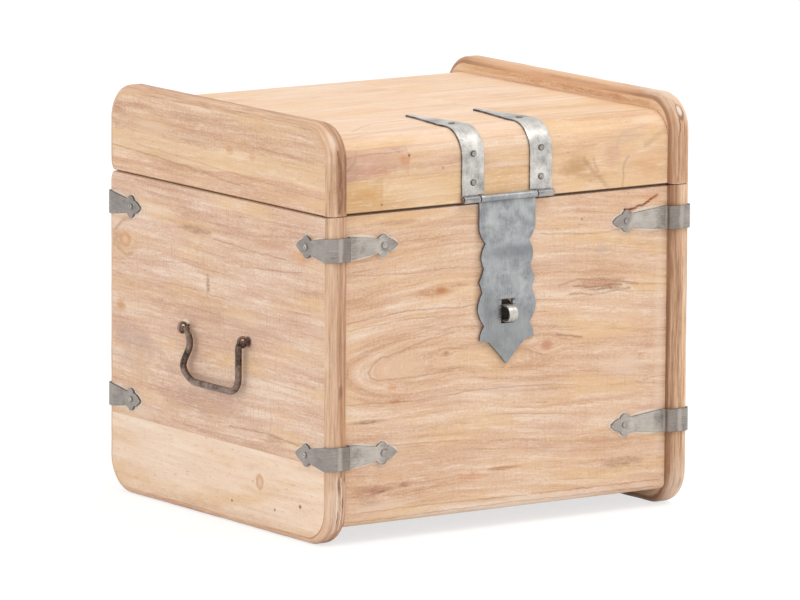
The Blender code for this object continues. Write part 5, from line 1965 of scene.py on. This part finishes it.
def screw(node, body, turn):
    """A round-headed screw in its hole: a slotted dome, and a shank with a point."""
    box_low, box_high = (np.array(c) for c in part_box(node))
    along = int(np.argmax(box_high - box_low))
    outward = -1.0 if along < 2 and box_low[along] < 0 else 1.0
    centre = (box_low + box_high) / 2
    crown = box_high[along] if outward > 0 else box_low[along]
    seat = crown - outward * SOLID_HEAD
    point = box_low[along] if outward > 0 else box_high[along]
    edge = SLOT_HALF / HEAD_RADIUS
    even = np.linspace(edge * NEXT_CHORD, 1, CHORDS // 2)
    wall = edge * SLOT_WALL
    u = np.concatenate([-even[::-1], [-edge, -wall, 0.0, wall, edge], even])
    v = np.linspace(-1, 1, CHORDS)
    x = HEAD_RADIUS * np.broadcast_to(u[:, None], (len(u), CHORDS))
    y = v[None, :] * np.sqrt(np.maximum(HEAD_RADIUS ** 2 - x ** 2, 0))
    reach = np.minimum(np.hypot(x, y) / HEAD_RADIUS, 1.0)
    rise = HEAD_RIM + (HEAD_HEIGHT - HEAD_RIM) * np.sqrt(1 - reach ** 2)
    in_slot = (np.abs(u) < edge)[:, None]
    rise = np.where(in_slot, np.minimum(rise, HEAD_HEIGHT - SLOT_DEPTH), rise)
    rise = np.where(reach > DOME_EDGE, np.minimum(rise, HEAD_RIM), rise)
    spin = np.array([[np.cos(turn), -np.sin(turn)], [np.sin(turn), np.cos(turn)]])
    flat = np.stack([x, y], axis=-1) @ spin.T

    def placed(flat, out):
        """Points round the screw's axis, at their height over its seat."""
        place = np.empty(flat.shape[:-1] + (3,))
        place[..., along] = seat + outward * out
        place[..., (along + 1) % 3] = centre[(along + 1) % 3] + flat[..., 0]
        place[..., (along + 2) % 3] = centre[(along + 2) % 3] + flat[..., 1]
        return place

    ring = np.linspace(0, 2 * np.pi, ROUND_SIDES + 1)
    circle = np.column_stack([np.cos(ring), np.sin(ring)])
    length = abs(seat - point)
    profile = [(0.0, HEAD_RADIUS - HEAD_OVERHANG), (0.0, SHANK_RADIUS),
               (POINT_LENGTH - length, SHANK_RADIUS), (-length, POINT_RADIUS), (-length, 0.0)]
    shank = np.array([placed(circle * r, out) for out, r in profile])
    # Painted shade: the outer part of each head and its skirt are marked dark, a shadow ring round the
    # screw, weaker on the brackets.
    skirt_rise = np.array([HEAD_RIM, 0.0])
    skirt = np.array([placed(circle * HEAD_RADIUS, out) for out in skirt_rise])
    shade = np.clip((reach - SHADE_RING_FROM) / SHADE_RING_WIDE, 0, 1) * (1.0 if body == "lid" else BRACKET_SHADE_RING)
    shade_ring_map = np.concatenate([flat, shade[..., None]], axis=-1)
    grids = [(placed(flat, rise), shade_ring_map, None), (skirt, np.ones((2, ROUND_SIDES + 1, 3)), None),
             (shank, np.zeros(shank.shape[:2] + (3,)), None)]
    add_piece(node + "_finished", grids, screw_iron, body, "screw_iron", node)


screws = sorted(n for n in frame["nodes"] if "screw" in n)
for number, node in enumerate(screws):
    screw(node, "lid" if node.startswith("strap") else "base", FIRST_TURN + TURN_STEP * number)
print("pieces so far:", len(made))

# %% [markdown]
# ## Bail handles
#
# A bail is forged from round rod: two legs, a bar and turned-out ends that sit in the eyes. Each eye is
# a wire bent round like a cotter pin, with both legs through the board and turned apart inside. Both
# are tubes: a circle carried along a flat line.

# %% Rods and wires
BAIL_RADIUS = 3.5 * MM
ROD_SIDES = 20
DOME_DEPTH = 0.6 * MM


def rod(node, path, radius, place, finish, body):
    """A tube: middle(s) + r(s) (cos t sideways + sin t outwards), closed by a small dome at each end."""
    turn = np.linspace(0, 2 * np.pi, ROD_SIDES + 1)
    side = mitres(path)
    flat = path[:, None, :] + side[:, None, :] * (radius[:, None] * np.cos(turn))[..., None]
    out = radius[:, None] * np.sin(turn)
    points = place(flat, out)
    along = lengths(path)
    spread = np.stack(np.broadcast_arrays(along[:, None], turn * BAIL_RADIUS), axis=-1)
    add_piece(node + "_finished", [(points, spread, None)], finish, body, "rod_iron", node)


def domed(radius, steps, total):
    """The radius, drawn in to nothing over the last little way at both ends, as half a circle."""
    from_end = np.minimum(steps, total - steps)
    share = np.clip(from_end / DOME_DEPTH, 0, 1)
    return radius * np.sqrt(1 - (1 - share) ** 2)


print("a rod's end is rounded over its last", round(DOME_DEPTH / MM, 1), "mm")

# %% Bails
BAIL_END_RADIUS = 2.3 * MM
BAIL_HALF_SPAN = 47.2 * MM
BAIL_DROP = 52 * MM
BAIL_SHOULDER = 6 * MM
BAIL_CORNER = 16 * MM
BAIL_END = 12.5 * MM
BAIL_KINK = 6 * MM
BAIL_CAP_STEPS = (0.1, 0.25, 0.45)
BAIL_KNOB = ((0.0, 2.6), (1.8, 3.0), (2.7, 2.3))
BAIL_BEND_STEPS = 14
ROD_STEP = 1.0 * MM
HAMMERED, HAMMER_WAVE = 0.015, 23 * MM


def bail(word, side):
    """One bail, in the plane beside its wall, uneven from the hammer, its rear leg bent like an S."""
    node = "bail_" + word
    box_low, box_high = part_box(node)
    x = (box_low[0] + box_high[0]) / 2
    y = (box_low[1] + box_high[1]) / 2
    z = box_low[2] + BAIL_RADIUS + BAIL_DROP
    out = BAIL_HALF_SPAN + BAIL_END
    corners = ((-out, 0), (-BAIL_HALF_SPAN, 0), (-BAIL_HALF_SPAN, -BAIL_DROP),
               (BAIL_HALF_SPAN, -BAIL_DROP), (BAIL_HALF_SPAN, 0), (out, 0))
    bends = (BAIL_SHOULDER, BAIL_CORNER, BAIL_CORNER, BAIL_SHOULDER)
    line = rounded_line(corners, bends, BAIL_BEND_STEPS)
    ends = np.array(BAIL_CAP_STEPS) * MM
    total = lengths(line)[-1]
    path = walk(line, ROD_STEP, tuple(ends) + tuple(total - ends))
    steps = lengths(path)
    from_end = np.minimum(steps, total - steps)
    knob_at, knob_radius = (np.array(BAIL_KNOB) * MM).T
    marks = (*knob_at, BAIL_END - BAIL_SHOULDER, BAIL_END + BAIL_SHOULDER)
    radius = np.interp(from_end, marks, (*knob_radius, BAIL_END_RADIUS, BAIL_RADIUS))
    radius = radius * (1 - HAMMERED * (1 + ripple(steps, HAMMER_WAVE, 2.0 + side)))
    radius = domed(radius, steps, total)
    down = np.clip(-path[:, 1] / BAIL_DROP, 0, 1)
    on_leg = np.clip(path[:, 0] / BAIL_HALF_SPAN * 2 - 1, 0, 1)
    path[:, 0] -= BAIL_KINK * np.sin(2 * np.pi * down) * on_leg

    def placed(flat, outwards):
        """Points drawn as (y, z) round the hinge line, at their distance from the bail's plane."""
        return np.stack([x + outwards, y + flat[..., 0], z + flat[..., 1]], axis=-1)

    rod(node, path, radius, placed, rod_iron, "handle_" + word)


print("a bail opens", round(2 * (BAIL_HALF_SPAN - BAIL_RADIUS) / MM, 1), "mm inside its legs")

# %% Eyes
EYE_RADIUS = 4.8 * MM
WIRE_RADIUS = 1.6 * MM
EYE_GAP = 0.4 * MM
EYE_TAIL = 13 * MM
EYE_BEND = 2 * MM
RING_STEPS = 36
WIRE_STEP = 0.9 * MM
WIRE_CAP_STEPS = (0.1 * MM, 0.3 * MM)


def eye(node, side):
    """A cotter-pin eye, drawn as (outwards, up): tail, leg, ring, leg, tail."""
    box_low, box_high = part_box(node)
    y, z = (box_low[1] + box_high[1]) / 2, (box_low[2] + box_high[2]) / 2
    apart = WIRE_RADIUS + EYE_GAP / 2
    start = np.degrees(np.arcsin(apart / EYE_RADIUS))
    ring_x = (max(abs(box_low[0]), abs(box_high[0]))) - EYE_RADIUS - WIRE_RADIUS
    ring = arc((0, 0), (EYE_RADIUS, EYE_RADIUS), 180 - start, start - 180, RING_STEPS)
    inside = min(abs(box_low[0]), abs(box_high[0])) + WIRE_RADIUS - ring_x
    leg_corners = ((inside, apart + EYE_TAIL), (inside, apart), tuple(ring[0]))
    leg = rounded_line(leg_corners, (EYE_BEND,), BEND_STEPS)
    line = np.vstack([leg, ring[1:-1], leg[::-1] * (1, -1)])
    path = walk(line, WIRE_STEP, WIRE_CAP_STEPS)
    steps = lengths(path)
    radius = domed(np.full(len(path), WIRE_RADIUS), steps, steps[-1])

    def placed(flat, beside):
        """Points drawn as (outwards, up) from the ring's middle, at their distance along the wall."""
        return np.stack([side * (ring_x + flat[..., 0]), y + beside, z + flat[..., 1]], axis=-1)

    rod(node, path, radius, placed, rod_iron, "base")


for word, side in SIDES:
    bail(word, side)
    for end in ("front", "back"):
        eye(f"eye_{word}_{end}", side)
missing = sorted(set(frame["nodes"]) - {name.removesuffix("_finished") for name in made})
print("pieces in all:", len(made), "nodes left as they are:", missing)

# %% [markdown]
# ## Floor, light and camera
#
# The chest stands on a pale floor that runs to white. The light is a soft sky and one broad lamp from
# above, at a level where a colour renders about as it is written. White comes from the backdrop's own
# brightness towards the camera, and never from more light on the chest.

# %% Floor
FLOOR_HALF = 12.0
FLOOR_DULL = 0.9
FLOOR_SPECULAR = 0.1
floor_mesh = bpy.data.meshes.new("studio_floor")
floor_corner = FLOOR_HALF * np.array([(-1, -1, 0), (1, -1, 0), (1, 1, 0), (-1, 1, 0)])
floor_mesh.from_pydata(floor_corner.tolist(), [], [(0, 1, 2, 3)])
studio_floor = bpy.data.objects.new("studio_floor", floor_mesh)
bpy.context.scene.collection.objects.link(studio_floor)
floor_finish = bpy.data.materials.new("studio_floor")
floor_finish.use_nodes = True
floor_mesh.materials.append(floor_finish)
floor_shader = floor_finish.node_tree.nodes["Principled BSDF"]
floor_shader.inputs["Roughness"].default_value = FLOOR_DULL
floor_shader.inputs["Specular IOR Level"].default_value = FLOOR_SPECULAR
FLOOR_GLOW = 0.70
FLOOR_SHADE = 0.86
FLOOR_SEEN_LESS = 0.48
floor_tree = floor_finish.node_tree
floor_rays = floor_tree.nodes.new("ShaderNodeLightPath")
floor_seen = Field(floor_tree, floor_rays.outputs["Is Camera Ray"])
floor_seen = floor_seen.most(Field(floor_tree, floor_rays.outputs["Is Glossy Ray"]))
floor_glow = floor_seen * FLOOR_GLOW
floor_tone = FLOOR_SHADE - floor_seen * FLOOR_SEEN_LESS
floor_shader.inputs["Emission Color"].default_value = (1, 1, 1, 1)
floor_tree.links.new(floor_glow.socket, floor_shader.inputs["Emission Strength"])
floor_tree.links.new(floor_tone.socket, floor_shader.inputs["Base Color"])
print("the floor runs", FLOOR_HALF, "m each way")

# %% Sky and lamps
SKY = 0.86
LAMP_AIM = (0, 0, 0.2)
sky = bpy.data.worlds.new("studio_sky")
bpy.context.scene.world = sky
sky.use_nodes = True
sky_tree = sky.node_tree
sky_node = sky_tree.nodes["Background"]
sky_node.inputs["Color"].default_value = (1, 1, 1, 1)
rays = sky_tree.nodes.new("ShaderNodeLightPath")
seen = Field(sky_tree, rays.outputs["Is Camera Ray"]).most(Field(sky_tree, rays.outputs["Is Glossy Ray"]))
seen = seen.most(Field(sky_tree, rays.outputs["Is Transmission Ray"]))
strength = SKY + seen * (1.0 - SKY)
sky_tree.links.new(strength.socket, sky_node.inputs["Strength"])


def lamp(name, place, size, power):
    """A square area lamp that looks at the middle of the chest."""
    data = bpy.data.lights.new(name, "AREA")
    data.size, data.energy = size, power
    lit = bpy.data.objects.new(name, data)
    bpy.context.scene.collection.objects.link(lit)
    lit.location = place
    lit.rotation_euler = (Vector(LAMP_AIM) - Vector(place)).to_track_quat("-Z", "Y").to_euler()
    return lit


lamp("top_lamp", place=(0.9, -1.3, 2.6), size=1.2, power=22.0)
lamp("side_lamp", place=(-2.6, 0.4, 1.4), size=1.4, power=9.0)
print("light set")

# %% [markdown]
# The camera stands far off with a long lens, as for a catalogue picture: the sides stay nearly
# parallel. Its place was worked out from the chest's corners in the photograph.

# %% Camera
CAMERA_TURN = 0.60432
CAMERA_RISE = np.radians(9.131)
CAMERA_ROLL = np.radians(0.31)
CAMERA_FAR = 8.2969
FOCAL_PIXELS = 8179.98
SHIFT_PIXELS = (2.27, -6.97)
PICTURE_WIDTH = 800
SENSOR = 36.0
CAMERA_REACH = 100
rise_cos, rise_sin = np.cos(CAMERA_RISE), np.sin(CAMERA_RISE)
back = Vector((-np.sin(CAMERA_TURN) * rise_cos, -np.cos(CAMERA_TURN) * rise_cos, rise_sin))
right = Vector((np.cos(CAMERA_TURN), -np.sin(CAMERA_TURN), 0))
above = back.cross(right)
camera_right = np.cos(CAMERA_ROLL) * right + np.sin(CAMERA_ROLL) * above
camera_up = np.cos(CAMERA_ROLL) * above - np.sin(CAMERA_ROLL) * right
stand = Vector((0, middle_y, chest_top / 2)) + back * CAMERA_FAR
lens = bpy.data.cameras.new("camera")
camera = bpy.data.objects.new("camera", lens)
bpy.context.scene.collection.objects.link(camera)
camera.matrix_world = Matrix((camera_right, camera_up, back)).transposed().to_4x4()
camera.location = stand
lens.sensor_width = SENSOR
lens.lens = FOCAL_PIXELS / PICTURE_WIDTH * SENSOR
lens.shift_x = SHIFT_PIXELS[0] / PICTURE_WIDTH
lens.shift_y = SHIFT_PIXELS[1] / PICTURE_WIDTH
lens.clip_end = CAMERA_REACH
bpy.context.scene.camera = camera
bpy.context.scene.view_settings.view_transform = "Standard"
print("camera at", [round(c, 3) for c in stand])

# %% [markdown]
# ## Size
#
# The dressed chest is built to the size of the CAD model.
